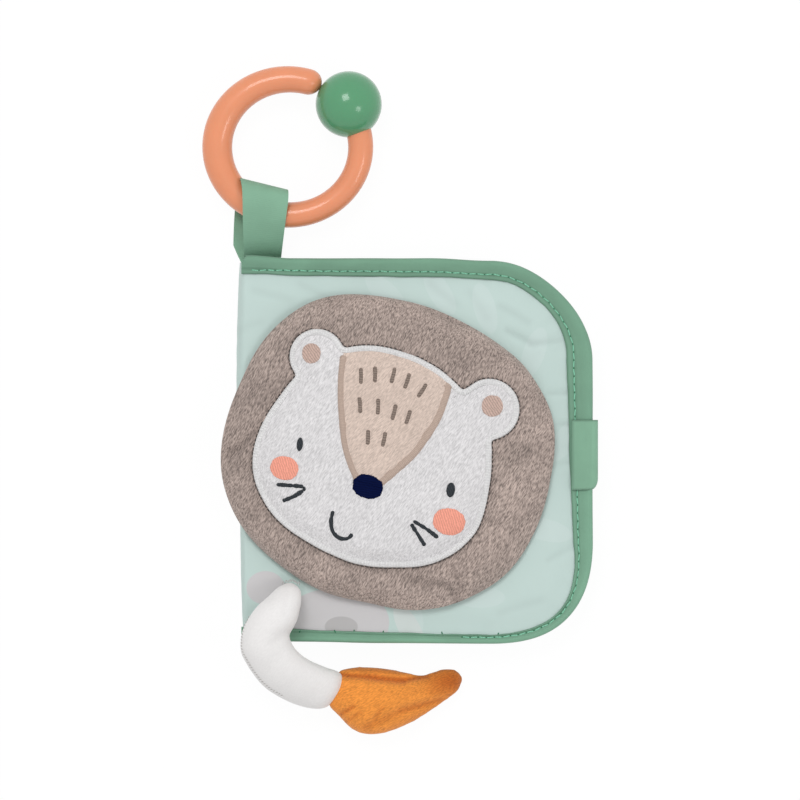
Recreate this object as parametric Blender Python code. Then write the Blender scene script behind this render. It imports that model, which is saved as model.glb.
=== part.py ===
"""A crinkle cloth book for a baby: three quilted leaves bound at the fore edge, a plush face pad on the cover,
a stuffed tail with a tuft, and an open ring with a ball on a ribbon loop.

It lies closed on its back cover. +X runs from the spine to the fore edge, +Y from the foot to the head of the
page and +Z up through the leaves. The origin is the middle of the back cover's outer face. Lengths are metres.
"""

from math import cos, hypot, pi, radians, sin, sqrt

import bmesh
import bpy
from mathutils import Matrix, Vector

MM = 0.001

# the book block
BOOK_WIDTH = 146 * MM
BOOK_HEIGHT = 158 * MM
CORNER_RADIUS = 42 * MM
LEAF_THICKNESS = 5.0 * MM
LEAF_GAP = 0.4 * MM
CLOTH_THICKNESS = 0.6 * MM
FILM_THICKNESS = 0.2 * MM
PINCH_WIDTH = 11 * MM  # over which a leaf swells from its bound edge to its full thickness
LAYER_GAP = 0.3 * MM
SPINE_BULGE = 4.0 * MM
SPINE_INSET = 2.0 * MM  # the spine cloth stops short of the head and the foot
HINGE_OFFSET = 6.0 * MM  # the leaves turn about a line outside the spine, because its cloth unrolls
LEAVES = ("back", "page", "front")

# the bias tape round head, fore edge and foot
BINDING_HEAD = 8.0 * MM
BINDING_SIDE = 10.3 * MM
BINDING_FOOT = 5.0 * MM
BINDING_THICKNESS = 3.3 * MM
BINDING_WALL = 0.6 * MM

# the ribbon folded round the front cover's fore edge
TAB_LENGTH = 28.7 * MM
TAB_MIDDLE_Y = -1.6 * MM
TAB_LAP = 8.6 * MM
TAB_PROUD = 2.2 * MM
RIBBON_THICKNESS = 0.8 * MM

# the plush pad
PAD_RADIUS = 66.05 * MM
PAD_CENTRE_X = -10.75 * MM
PAD_CENTRE_Y = -0.75 * MM
PAD_OVAL_SHARE = 0.049  # the outline's swell across its long diagonal
PAD_OVAL_ANGLE = 156
PAD_HEIGHT = 12.5 * MM
PAD_RIM = 2.2 * MM
PAD_WALL = 1.0 * MM
PAD_BACK_THICKNESS = 0.7 * MM
PAD_RING_SHARES = (0.2, 0.42, 0.6, 0.73, 0.83, 0.9, 0.95, 0.985, 1.0)

# the appliqué face
FACE_CENTRE_X = -17.0 * MM
FACE_CENTRE_Y = -2.9 * MM
FACE_HALF_WIDTH = 49.6 * MM
FACE_HALF_HEIGHT = 45.5 * MM
FACE_TILT = -12
EAR_LEFT_RADIUS = 10.5 * MM
EAR_RIGHT_RADIUS = 12.1 * MM
EAR_LEFT_OFFSET = 50.7 * MM
EAR_LEFT_ANGLE = 118.1
EAR_RIGHT_OFFSET = 52.4 * MM
EAR_RIGHT_ANGLE = 23.5
FACE_THICKNESS = 1.0 * MM
FACE_EDGING_WIDTH = 2.7 * MM
FACE_EDGING_THICKNESS = 1.3 * MM
WEDGE_THICKNESS = 0.8 * MM
WEDGE_EDGING_WIDTH = 3.4 * MM
WEDGE_EDGING_THICKNESS = 1.1 * MM
EMBROIDERY_THICKNESS = 0.7 * MM
LAYER_LIFT = 0.5 * MM  # clearance between the cloths laid on the domed pad
NOSE_HALF_SIZES = (6.2 * MM, 4.9 * MM)
EYE_HALF_SIZES = (1.5 * MM, 2.8 * MM)
CHEEK_HALF_SIZES = (5.9 * MM, 4.9 * MM)
EAR_INNER_RADIUS = 4.0 * MM

# the tail and its tuft
TAIL_ROOT_ANGLE = 234
TAIL_ROOT_RADIUS = 4.6 * MM
TAIL_RADIUS = 10.2 * MM
TAIL_SEAM_RADIUS = 7.8 * MM
TUFT_RADIUS = 13.0 * MM
TUFT_FLATNESS_SHARE = 0.72
TAIL_REACH = 72.7 * MM
TAIL_DROP = 46.8 * MM
TAIL_WALL = 0.8 * MM
TAIL_CLEARANCE = 0.4 * MM
TAIL_SIDES = 14

# the ribbon loop
LOOP_FROM_SPINE = 2.8 * MM  # from the book's spine edge to the ribbon
LOOP_WIDTH = 18.2 * MM
LOOP_LENGTH_LEFT = 33.6 * MM
LOOP_LENGTH_RIGHT = 27.2 * MM
LOOP_SWELL = 9.6 * MM
LOOP_FULLNESS = 0.8  # below 1 the loop opens sooner beside its root
LOOP_ROOT_GAP = 0.9 * MM
LOOP_STATIONS = 5
LOOP_STEPS = 22

# the open ring and its ball
RING_FROM_SPINE = 21.5 * MM  # from the book's spine edge to the ring's centre
RING_FROM_HEAD = 45.6 * MM  # from the book's head to the ring's centre
RING_CENTRE_Z = 11.15 * MM
RING_HALF_WIDTH = 29.5 * MM
RING_HALF_HEIGHT = 27.8 * MM
RING_TUBE_RADIUS = 5.5 * MM
RING_TILT = 4.5
RING_END_ANGLE = 74
RING_STEPS = 34
RING_SIDES = 12
BALL_RADIUS = 13.5 * MM
BALL_OUTSIDE_LINE = 0.7 * MM  # the ball's centre lies this far outside the middle line of the ring
BALL_ANGLE = 35.5
BALL_GAP = 0.3 * MM
BALL_SEGMENTS = 24
BALL_RINGS = 14

CORNER_STEPS = 8
OUTLINE_STEPS = 48
SMALL_STEPS = 14

# sRGB colours
MINT = (194, 218, 210)
BINDING_GREEN = (125, 175, 145)
FILM = (236, 236, 238)
WADDING = (240, 240, 236)
TAUPE = (175, 160, 151)
WHITE_PLUSH = (232, 230, 230)
SATIN = (238, 238, 238)
BEIGE = (222, 201, 188)
LIGHT_BROWN = (191, 166, 152)
NAVY = (6, 20, 63)
DARK_GREY = (58, 61, 66)
CORAL_PINK = (245, 155, 128)
TAN = (210, 178, 155)
ORANGE = (233, 146, 58)
RING_CORAL = (239, 160, 122)
BALL_GREEN = (106, 174, 140)

STACK = len(LEAVES) * LEAF_THICKNESS + (len(LEAVES) - 1) * LEAF_GAP
LEFT = -BOOK_WIDTH / 2 + SPINE_BULGE  # where the leaves end and the spine cloth begins
HINGE_X = -BOOK_WIDTH / 2 - HINGE_OFFSET
LOOP_LEFT_X = -BOOK_WIDTH / 2 + LOOP_FROM_SPINE
LOOP_RIGHT_X = LOOP_LEFT_X + LOOP_WIDTH
RING_CENTRE_X = -BOOK_WIDTH / 2 + RING_FROM_SPINE
RING_CENTRE_Y = BOOK_HEIGHT / 2 + RING_FROM_HEAD
BALL_OFFSET = RING_HALF_WIDTH + BALL_OUTSIDE_LINE
PAD_BASE = STACK + LAYER_GAP


def clear_scene():
    for obj in list(bpy.data.objects):
        bpy.data.objects.remove(obj, do_unlink=True)


def linear(channel):
    share = channel / 255
    return share / 12.92 if share <= 0.04045 else ((share + 0.055) / 1.055) ** 2.4


def material(name, colour, roughness):
    made = bpy.data.materials.new(name)
    made.use_nodes = True
    shader = made.node_tree.nodes["Principled BSDF"]
    shader.inputs["Base Color"].default_value = (*(linear(c) for c in colour), 1.0)
    shader.inputs["Roughness"].default_value = roughness
    shader.inputs["Metallic"].default_value = 0.0
    return made


def pivot(name, place, parent=None, turned=None):
    """An empty on a joint's axis. Its own world matrix is kept beside it, for the pieces that it carries."""
    empty = bpy.data.objects.new(name, None)
    bpy.context.collection.objects.link(empty)
    world = Matrix.Translation(Vector(place)) @ (turned or Matrix.Identity(4))
    if parent:
        empty.parent = parent[0]
        empty.matrix_basis = parent[1].inverted() @ world
    else:
        empty.matrix_basis = world
    return empty, world


def solid(name, bm, look, carrier=None):
    """Turns a closed bmesh in world space into a named object, carried by its pivot."""
    bmesh.ops.recalc_face_normals(bm, faces=bm.faces)
    if carrier:
        bmesh.ops.transform(bm, matrix=carrier[1].inverted(), verts=bm.verts)
    mesh = bpy.data.meshes.new(name)
    bm.to_mesh(mesh)
    bm.free()
    mesh.shade_smooth()
    mesh.set_sharp_from_angle(angle=radians(40))
    mesh.materials.append(material(name, *look))
    obj = bpy.data.objects.new(name, mesh)
    bpy.context.collection.objects.link(obj)
    if carrier:
        obj.parent = carrier[0]
    return obj


def loft(name, rings, look, carrier=None, closed=False):
    """Joins closed rings of points into one solid, with a cap at each end or, if closed, last ring to first."""
    bm = bmesh.new()
    loops = [[bm.verts.new(p) for p in ring] for ring in rings]
    if closed:
        loops.append(loops[0])
    else:
        bm.faces.new(loops[0])
        bm.faces.new(loops[-1])
    for one, two in zip(loops, loops[1:]):
        for i in range(len(one)):
            bm.faces.new((one[i - 1], one[i], two[i], two[i - 1]))
    return solid(name, bm, look, carrier)


def smooth(share):
    return share * share * (3 - 2 * share)


# the leaves


def edge_path(insets, left=LEFT):
    """The block's outline from the head of the spine round the fore edge to the foot, drawn in by (head, side, foot)."""
    head, side, foot = insets
    corner_x = BOOK_WIDTH / 2 - CORNER_RADIUS
    corner_y = BOOK_HEIGHT / 2 - CORNER_RADIUS
    path = [(left, BOOK_HEIGHT / 2 - head)]
    for i in range(CORNER_STEPS + 1):
        a = pi / 2 * i / CORNER_STEPS
        path.append(
            (
                corner_x + (CORNER_RADIUS - side) * sin(a),
                corner_y + (CORNER_RADIUS - head) * cos(a),
            )
        )
    for i in range(CORNER_STEPS + 1):
        a = pi / 2 * i / CORNER_STEPS
        path.append(
            (
                corner_x + (CORNER_RADIUS - side) * cos(a),
                -corner_y - (CORNER_RADIUS - foot) * sin(a),
            )
        )
    path.append((left, -BOOK_HEIGHT / 2 + foot))
    return path


def insets_at(share, extra=0.0):
    """A line that follows the tape's inner edge, at a share of its width and so much further in."""
    return tuple(
        share * width + extra for width in (BINDING_HEAD, BINDING_SIDE, BINDING_FOOT)
    )


def draped(name, rows, look, carrier=None, left=LEFT):
    """A layer of a leaf. Each row is (insets, upper z, lower z), from the bound edge inwards; the last spans the middle."""
    bm = bmesh.new()
    grids = []
    for side in (1, 2):
        grids.append(
            [
                [bm.verts.new((x, y, row[side])) for x, y in edge_path(row[0], left)]
                for row in rows
            ]
        )
    upper, lower = grids
    last = len(upper[0]) - 1
    for grid in grids:
        for one, two in zip(grid, grid[1:]):
            for j in range(last):
                bm.faces.new((one[j], one[j + 1], two[j + 1], two[j]))
        bm.faces.new(grid[-1])
    for j in range(last):
        bm.faces.new((upper[0][j], upper[0][j + 1], lower[0][j + 1], lower[0][j]))
    for j in (0, last):
        for k in range(len(rows) - 1):
            bm.faces.new((upper[k][j], upper[k + 1][j], lower[k + 1][j], lower[k][j]))
    bm.faces.new((upper[-1][0], upper[-1][last], lower[-1][last], lower[-1][0]))
    return solid(name, bm, look, carrier)


def leaf(name, middle, upper_name, lower_name, carrier):
    """One quilted leaf about the height of its middle: two cloths pinched into the tape, wadding and crackling film."""
    full = LEAF_THICKNESS / 2
    pinched = BINDING_THICKNESS / 2 - BINDING_WALL - LAYER_GAP
    swell_shares = (0.0, 0.3, 0.5, 0.75, 1.0)

    def outer(share):
        return pinched + (full - pinched) * smooth(share)

    def insets(share):
        return insets_at(1.0, LAYER_GAP + PINCH_WIDTH * share)

    tucked = BINDING_WALL + LAYER_GAP
    for cloth, side in ((upper_name, 1), (lower_name, -1)):
        rows = [((tucked, tucked, tucked), pinched, pinched - CLOTH_THICKNESS)]
        rows += [
            (insets(s), outer(s), outer(s) - CLOTH_THICKNESS) for s in swell_shares
        ]
        rows = [(at, middle + side * a, middle + side * b) for at, a, b in rows]
        draped(f"{name}_{cloth}_cloth", rows, (MINT, 0.85), carrier)

    inside = CLOTH_THICKNESS + LAYER_GAP
    film_top = full - inside
    film_low = film_top - FILM_THICKNESS
    filling_left = LEFT + LAYER_GAP
    draped(
        f"{name}_crinkle_film",
        [(insets(1.0), middle + film_top, middle + film_low)],
        (FILM, 0.25),
        carrier,
        filling_left,
    )
    rows = []
    for share in swell_shares[2:]:
        top = min(outer(share) - inside, film_low - LAYER_GAP)
        rows.append((insets(share), middle + top, middle - outer(share) + inside))
    draped(f"{name}_wadding", rows, (WADDING, 0.95), carrier, filling_left)

    half, wall = BINDING_THICKNESS / 2, BINDING_WALL
    nose_share = half / BINDING_SIDE
    section = [(1.0, 0.0, half - wall), (1.0, 0.0, half), (nose_share, 0.0, half)]
    for i in range(1, 4):
        a = pi / 2 - pi / 4 * i
        section.append((0.0, half - half * cos(a), half * sin(a)))
    section += [
        (nose_share, 0.0, -half),
        (1.0, 0.0, -half),
        (1.0, 0.0, -half + wall),
        (0.0, wall, -half + wall),
        (0.0, wall, half - wall),
    ]
    columns = [
        [(x, y, middle + z) for x, y in edge_path(insets_at(share, extra))]
        for share, extra, z in section
    ]
    loft(f"{name}_binding", zip(*columns), (BINDING_GREEN, 0.7), carrier)


def spine(name, first_angle, last_angle, carrier):
    """A quarter of the rounded spine, as cloth round the leaves' inner ends."""
    middle = STACK / 2
    half = BOOK_HEIGHT / 2 - SPINE_INSET
    rings = []
    for i in range(CORNER_STEPS + 1):
        a = radians(first_angle + (last_angle - first_angle) * i / CORNER_STEPS)
        ring = []
        for deep, y in (
            (0, half),
            (0, -half),
            (CLOTH_THICKNESS, -half),
            (CLOTH_THICKNESS, half),
        ):
            x = LEFT - LAYER_GAP + (SPINE_BULGE - LAYER_GAP - deep) * cos(a)
            ring.append((x, y, middle + (middle - deep) * sin(a)))
        rings.append(ring)
    loft(name, rings, (MINT, 0.85), carrier)


def pull_tab(carrier, middle):
    """The ribbon folded round the tape at the fore edge, standing a little proud of it."""
    outside = BINDING_THICKNESS / 2 + LAYER_GAP + RIBBON_THICKNESS
    inside = BINDING_THICKNESS / 2 + LAYER_GAP
    fold_x = BOOK_WIDTH / 2 + TAB_PROUD - outside
    start_x = BOOK_WIDTH / 2 - TAB_LAP
    section = [(start_x, inside), (start_x, outside)]
    fold_steps = 6
    for i in range(fold_steps + 1):
        a = pi / 2 - pi * i / fold_steps
        section.append((fold_x + outside * cos(a), outside * sin(a)))
    section += [(start_x, -outside), (start_x, -inside)]
    for i in range(fold_steps + 1):
        a = -pi / 2 + pi * i / fold_steps
        section.append((fold_x + inside * cos(a), inside * sin(a)))
    ends = (TAB_MIDDLE_Y + TAB_LENGTH / 2, TAB_MIDDLE_Y - TAB_LENGTH / 2)
    rings = [[(x, y, middle + z) for x, z in section] for y in ends]
    loft("pull_tab", rings, (BINDING_GREEN, 0.6), carrier)


# the pad and its face


def pad_radius(angle):
    return PAD_RADIUS * (
        1 + PAD_OVAL_SHARE * cos(2 * (angle - radians(PAD_OVAL_ANGLE)))
    )


def direction(x, y):
    return Vector((x, y)).angle_signed(Vector((1, 0))) if hypot(x, y) else 0.0


def pad_dome(share):
    return PAD_RIM + (PAD_HEIGHT - PAD_RIM) * sqrt(max(0.0, 1 - share**4))


def pad_top(x, y):
    """The height of the plush over a point of the pad."""
    dx, dy = x - PAD_CENTRE_X, y - PAD_CENTRE_Y
    return PAD_BASE + pad_dome(min(1.0, hypot(dx, dy) / pad_radius(direction(dx, dy))))


def pad_ring(share, drawn_in, height):
    ring = []
    for i in range(OUTLINE_STEPS):
        a = 2 * pi * i / OUTLINE_STEPS
        r = (pad_radius(a) - drawn_in) * share
        ring.append((PAD_CENTRE_X + r * cos(a), PAD_CENTRE_Y + r * sin(a), height))
    return ring


def pad(carrier):
    shares = PAD_RING_SHARES
    outer = [pad_ring(s, 0, PAD_BASE + pad_dome(s)) for s in shares]
    outer.append(pad_ring(1.0, 0, PAD_BASE))
    inner = [pad_ring(s, PAD_WALL, PAD_BASE + pad_dome(s) - PAD_WALL) for s in shares]
    inner.append(pad_ring(1.0, PAD_WALL, PAD_BASE))
    loft("mane_front", outer + inner[::-1], (TAUPE, 0.95), carrier)

    back_edge = PAD_WALL + LAYER_GAP
    back_top = PAD_BASE + PAD_BACK_THICKNESS
    back = [pad_ring(1.0, back_edge, z) for z in (PAD_BASE, back_top)]
    loft("mane_back", back, (TAUPE, 0.95), carrier)

    drawn_in = PAD_WALL + LAYER_LIFT
    floor = back_top + LAYER_GAP
    crown = [
        pad_ring(s, drawn_in, PAD_BASE + pad_dome(s) - drawn_in)
        for s in shares
        if PAD_BASE + pad_dome(s) - drawn_in > floor + LAYER_GAP
    ]
    widest = shares[len(crown) - 1]
    crown.append(pad_ring(widest, drawn_in, floor))
    loft("mane_stuffing", crown, (WADDING, 0.95), carrier)


def on_pad(x, y, lift):
    return x, y, pad_top(x, y) + lift


def patch(name, outline, lift, thickness, look, carrier, ring_shares):
    """A cloth laid on the dome: outline is its edge, from the middle that the first value gives."""
    (cx, cy), edge = outline
    rings = []
    for height, shares in (
        (lift + thickness, ring_shares),
        (lift, ring_shares[::-1]),
    ):
        for share in shares:
            rings.append(
                [
                    on_pad(cx + (x - cx) * share, cy + (y - cy) * share, height)
                    for x, y in edge
                ]
            )
    loft(name, rings, look, carrier)


def band(name, outer, inner, lift, thickness, look, carrier):
    """A satin border between two outlines with the same count of points."""
    middle = [((a + c) / 2, (b + d) / 2) for (a, b), (c, d) in zip(outer, inner)]
    rings = [
        [on_pad(x, y, height) for x, y in line]
        for line, height in (
            (outer, lift),
            (outer, lift + thickness),
            (middle, lift + thickness),
            (inner, lift + thickness),
            (inner, lift),
            (middle, lift),
        )
    ]
    loft(name, rings, look, carrier, closed=True)


def face_radius(angle):
    """The head's tilted oval with the two round ears, from the head's middle."""
    a = angle - radians(FACE_TILT)
    reach = (FACE_HALF_WIDTH * FACE_HALF_HEIGHT) / hypot(
        FACE_HALF_HEIGHT * cos(a), FACE_HALF_WIDTH * sin(a)
    )
    for offset, at, radius in (
        (EAR_LEFT_OFFSET, EAR_LEFT_ANGLE, EAR_LEFT_RADIUS),
        (EAR_RIGHT_OFFSET, EAR_RIGHT_ANGLE, EAR_RIGHT_RADIUS),
    ):
        turn = angle - radians(at)
        across = abs(offset * sin(turn))
        if across < radius and cos(turn) > 0:
            reach = max(reach, offset * cos(turn) + sqrt(radius**2 - across**2))
    return reach


def face_outline(drawn_in):
    steps = 2 * OUTLINE_STEPS
    line = []
    for i in range(steps):
        a = 2 * pi * i / steps
        r = face_radius(a) - drawn_in
        line.append((FACE_CENTRE_X + r * cos(a), FACE_CENTRE_Y + r * sin(a)))
    return line


def face_point(across_share, up_share):
    """A place on the face, in shares of its half sizes along the tilted head."""
    t = radians(FACE_TILT)
    u, v = across_share * FACE_HALF_WIDTH, up_share * FACE_HALF_HEIGHT
    return (
        FACE_CENTRE_X + u * cos(t) - v * sin(t),
        FACE_CENTRE_Y + u * sin(t) + v * cos(t),
    )


def oval(centre, half_sizes, turn=0.0):
    line = []
    for i in range(SMALL_STEPS):
        a = 2 * pi * i / SMALL_STEPS
        u, v = half_sizes[0] * cos(a), half_sizes[1] * sin(a)
        line.append(
            (
                centre[0] + u * cos(turn) - v * sin(turn),
                centre[1] + u * sin(turn) + v * cos(turn),
            )
        )
    return centre, line


def drawn_towards(line, centre, distance):
    out = []
    for x, y in line:
        away = hypot(x - centre[0], y - centre[1])
        share = 1 - distance / away
        out.append((centre[0] + (x - centre[0]) * share, centre[1] + (y - centre[1]) * share))
    return out


def face(carrier):
    centre = (FACE_CENTRE_X, FACE_CENTRE_Y)
    wide_shares = (0.2, 0.5, 0.75, 0.88, 1.0)
    small_shares = (0.5, 1.0)
    border = FACE_EDGING_WIDTH + LAYER_GAP
    patch(
        "face_cloth",
        (centre, face_outline(border)),
        LAYER_LIFT,
        FACE_THICKNESS,
        (WHITE_PLUSH, 0.95),
        carrier,
        wide_shares,
    )
    band(
        "face_border",
        face_outline(0),
        face_outline(FACE_EDGING_WIDTH),
        LAYER_LIFT,
        FACE_EDGING_THICKNESS,
        (SATIN, 0.45),
        carrier,
    )

    on_face = 2 * LAYER_LIFT + FACE_THICKNESS
    wedge = wedge_outline()
    middle = face_point(*WEDGE_MIDDLE_SHARES)
    patch(
        "forehead_cloth",
        (middle, drawn_towards(wedge, middle, WEDGE_EDGING_WIDTH + LAYER_GAP)),
        on_face,
        WEDGE_THICKNESS,
        (BEIGE, 0.95),
        carrier,
        (0.4, 1.0),
    )
    band(
        "forehead_border",
        wedge,
        drawn_towards(wedge, middle, WEDGE_EDGING_WIDTH),
        on_face,
        WEDGE_EDGING_THICKNESS,
        (LIGHT_BROWN, 0.45),
        carrier,
    )

    turn = radians(FACE_TILT)
    stitched = EMBROIDERY_THICKNESS
    features = (
        ("nose", NOSE_SHARES, NOSE_HALF_SIZES, NAVY),
        ("eye_left", EYE_LEFT_SHARES, EYE_HALF_SIZES, DARK_GREY),
        ("eye_right", EYE_RIGHT_SHARES, EYE_HALF_SIZES, DARK_GREY),
        ("cheek_left", CHEEK_LEFT_SHARES, CHEEK_HALF_SIZES, CORAL_PINK),
        ("cheek_right", CHEEK_RIGHT_SHARES, CHEEK_HALF_SIZES, CORAL_PINK),
    )
    for name, shares, half_sizes, colour in features:
        shape = oval(face_point(*shares), half_sizes, turn)
        patch(name, shape, on_face, stitched, (colour, 0.6), carrier, small_shares)
    inner_ear = (EAR_INNER_RADIUS, EAR_INNER_RADIUS)
    for name, offset, angle in (
        ("ear_left", EAR_LEFT_OFFSET, EAR_LEFT_ANGLE),
        ("ear_right", EAR_RIGHT_OFFSET, EAR_RIGHT_ANGLE),
    ):
        a = radians(angle)
        at = (FACE_CENTRE_X + offset * cos(a), FACE_CENTRE_Y + offset * sin(a))
        shape = oval(at, inner_ear)
        patch(name, shape, on_face, stitched, (TAN, 0.9), carrier, small_shares)


# places on the face, as shares of its half width and half height
NOSE_SHARES = (0.01, -0.26)
EYE_LEFT_SHARES = (-0.62, 0.0)
EYE_RIGHT_SHARES = (0.68, -0.135)
CHEEK_LEFT_SHARES = (-0.7, -0.22)
CHEEK_RIGHT_SHARES = (0.72, -0.41)
WEDGE_MIDDLE_SHARES = (0.04, 0.42)
WEDGE_OUTLINE_SHARES = (
    (-0.43, 0.82),
    (-0.2, 0.9),
    (0.1, 0.91),
    (0.35, 0.84),
    (0.5, 0.74),
    (0.46, 0.45),
    (0.365, 0.187),
    (0.264, -0.013),
    (0.17, -0.13),
    (-0.15, -0.13),
    (-0.21, -0.06),
    (-0.32, 0.2),
    (-0.385, 0.43),
)


def wedge_outline():
    """The forehead's rounded wedge, with a point between each two so that it follows the dome."""
    corners = [face_point(*shares) for shares in WEDGE_OUTLINE_SHARES]
    line = []
    for i, (x, y) in enumerate(corners):
        nx, ny = corners[(i + 1) % len(corners)]
        line += [(x, y), ((x + nx) / 2, (y + ny) / 2)]
    return line


# the tail


def curve_through(points, steps):
    """Points on a smooth curve through the given ones, as tuples of any length."""
    out = []
    for i in range(len(points) - 1):
        a = points[max(i - 1, 0)]
        b, c = points[i], points[i + 1]
        d = points[min(i + 2, len(points) - 1)]
        for k in range(steps):
            t = k / steps
            out.append(
                tuple(
                    (
                        2 * q
                        + (r - p) * t
                        + (2 * p - 5 * q + 4 * r - s) * t * t
                        + (3 * q - p - 3 * r + s) * t * t * t
                    )
                    / 2
                    for p, q, r, s in zip(a, b, c, d)
                )
            )
    out.append(tuple(points[-1]))
    return out


# (across, down, radius, height of what it lies on), as shares of the reach, the drop, the tail's or tuft's radius and the book's thickness
TAIL_ROUTE_SHARES = (
    (0.0, 0.0, 0.46, 1.0),
    (-0.035, -0.145, 0.8, 1.0),
    (-0.095, -0.3, 1.0, 1.0),
    (-0.13, -0.425, 1.0, 1.0),
    (-0.122, -0.54, 1.0, 1.0),
    (-0.078, -0.66, 1.0, 0.84),
    (0.011, -0.78, 1.0, 0.5),
    (0.131, -0.88, 0.93, 0.2),
    (0.258, -0.915, 0.765, 0.12),
)
TUFT_ROUTE_SHARES = (
    (0.258, -0.915, 0.6, 0.12),
    (0.31, -0.94, 0.8, 0.06),
    (0.405, -0.985, 1.0, 0.0),
    (0.57, -1.0, 0.94, 0.0),
    (0.75, -0.94, 0.64, 0.0),
    (0.89, -0.85, 0.46, 0.0),
    (0.96, -0.805, 0.3, 0.0),
    (1.0, -0.79, 0.08, 0.0),
)


def tail_root():
    a = radians(TAIL_ROOT_ANGLE)
    r = pad_radius(a) + TAIL_ROOT_RADIUS + TAIL_CLEARANCE
    height = STACK + TAIL_CLEARANCE + TAIL_ROOT_RADIUS
    return Vector((PAD_CENTRE_X + r * cos(a), PAD_CENTRE_Y + r * sin(a), height))


def tail_route(shares, radius, end_radius, flatness):
    """(place, half width, half height) along the tail, each lying on the book or on the floor below it."""
    root = tail_root()
    route = []
    for i, (across, down, wide, rest) in enumerate(shares):
        half = radius * wide
        if end_radius and i == end_radius[0] % len(shares):
            half = end_radius[1]
        high = half * (flatness if i > 1 or flatness == 1 else (1 + flatness) / 2)
        z = rest * STACK + high + TAIL_CLEARANCE
        route.append(
            (root.x + across * TAIL_REACH, root.y + down * TAIL_DROP, z, half, high)
        )
    return route


def tube_ring(route, i, drawn_in, sides):
    """A ring of points round one place of a route, square to it."""
    here = Vector(route[i][:3])
    ahead = Vector(route[min(i + 1, len(route) - 1)][:3])
    behind = Vector(route[max(i - 1, 0)][:3])
    along = (ahead - behind).normalized()
    side = along.cross(Vector((0, 0, 1))).normalized()
    up = side.cross(along)
    wide, high = (max(r - drawn_in, drawn_in / 2) for r in route[i][3:5])
    return [
        here + side * wide * cos(2 * pi * k / sides) + up * high * sin(2 * pi * k / sides)
        for k in range(sides)
    ]


def dome_rings(route, i, drawn_in, sides, outward, steps=3):
    """Rings that round off a tube's end, from the tip to the tube."""
    here = Vector(route[i][:3])
    nearby = Vector(route[i + 1 if i == 0 else i - 1][:3])
    back = (here - nearby).normalized() * outward
    full = tube_ring(route, i, drawn_in, sides)
    reach = (full[0] - here).length
    rings = []
    for k in range(steps):
        a = pi / 2 * (1 - (k + 0.35) / steps)
        rings.append([here + back * reach * sin(a) + (p - here) * cos(a) for p in full])
    return rings


def tail(carrier):
    tail_line = curve_through(
        tail_route(TAIL_ROUTE_SHARES, TAIL_RADIUS, (-1, TAIL_SEAM_RADIUS), 1), 2
    )
    first = list(tail_line[0])
    first[3] = first[4] = TAIL_ROOT_RADIUS
    first[2] = tail_root().z
    tail_line[0] = tuple(first)
    tuft_line = curve_through(
        tail_route(
            TUFT_ROUTE_SHARES, TUFT_RADIUS, (0, TAIL_SEAM_RADIUS), TUFT_FLATNESS_SHARE
        ),
        2,
    )
    seam = Vector(tail_line[-1][:3])
    onward = (seam - Vector(tail_line[-2][:3])).normalized() * LAYER_GAP
    filling = TAIL_WALL + LAYER_GAP

    def skin(line, drawn_in, first_ring, last_ring):
        return [
            tube_ring(line, i, drawn_in, TAIL_SIDES) for i in range(first_ring, last_ring)
        ]

    def past_seam(drawn_in):
        """The tail's last ring again, one gap further on, where the tuft begins."""
        last = tube_ring(tail_line, len(tail_line) - 1, drawn_in, TAIL_SIDES)
        return [[p + onward for p in last]]

    count = len(tail_line)
    outer = dome_rings(tail_line, 0, 0, TAIL_SIDES, 1) + skin(tail_line, 0, 0, count)
    inner = skin(tail_line, TAIL_WALL, 1, count)
    loft("tail_cloth", outer + inner[::-1], (WHITE_PLUSH, 0.95), carrier)
    stuffing = skin(tail_line, filling, 2, count)
    loft("tail_stuffing", stuffing, (WADDING, 0.95), carrier)

    count = len(tuft_line)
    outer = past_seam(0) + skin(tuft_line, 0, 2, count)
    inner = past_seam(TAIL_WALL) + skin(tuft_line, TAIL_WALL, 2, count - 2)
    loft("tuft_cloth", inner[::-1] + outer, (ORANGE, 0.95), carrier)
    stuffing = skin(tuft_line, filling + LAYER_GAP, 2, count - 4)
    loft("tuft_stuffing", stuffing, (WADDING, 0.95), carrier)


# the loop and the ring


def ring_frame():
    """The ring's own plane, tilted so that its ball and the side by the loop both lie low."""
    a = radians(BALL_ANGLE)
    about = Vector((sin(a), -cos(a), 0))
    return Matrix.Rotation(radians(RING_TILT), 4, about)


def ring_point(angle):
    flat = Vector((RING_HALF_WIDTH * cos(angle), RING_HALF_HEIGHT * sin(angle), 0))
    return ring_centre() + ring_frame() @ flat


def ring_centre():
    return Vector((RING_CENTRE_X, RING_CENTRE_Y, RING_CENTRE_Z))


def loop_root_z():
    return LEAF_THICKNESS / 2


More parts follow.
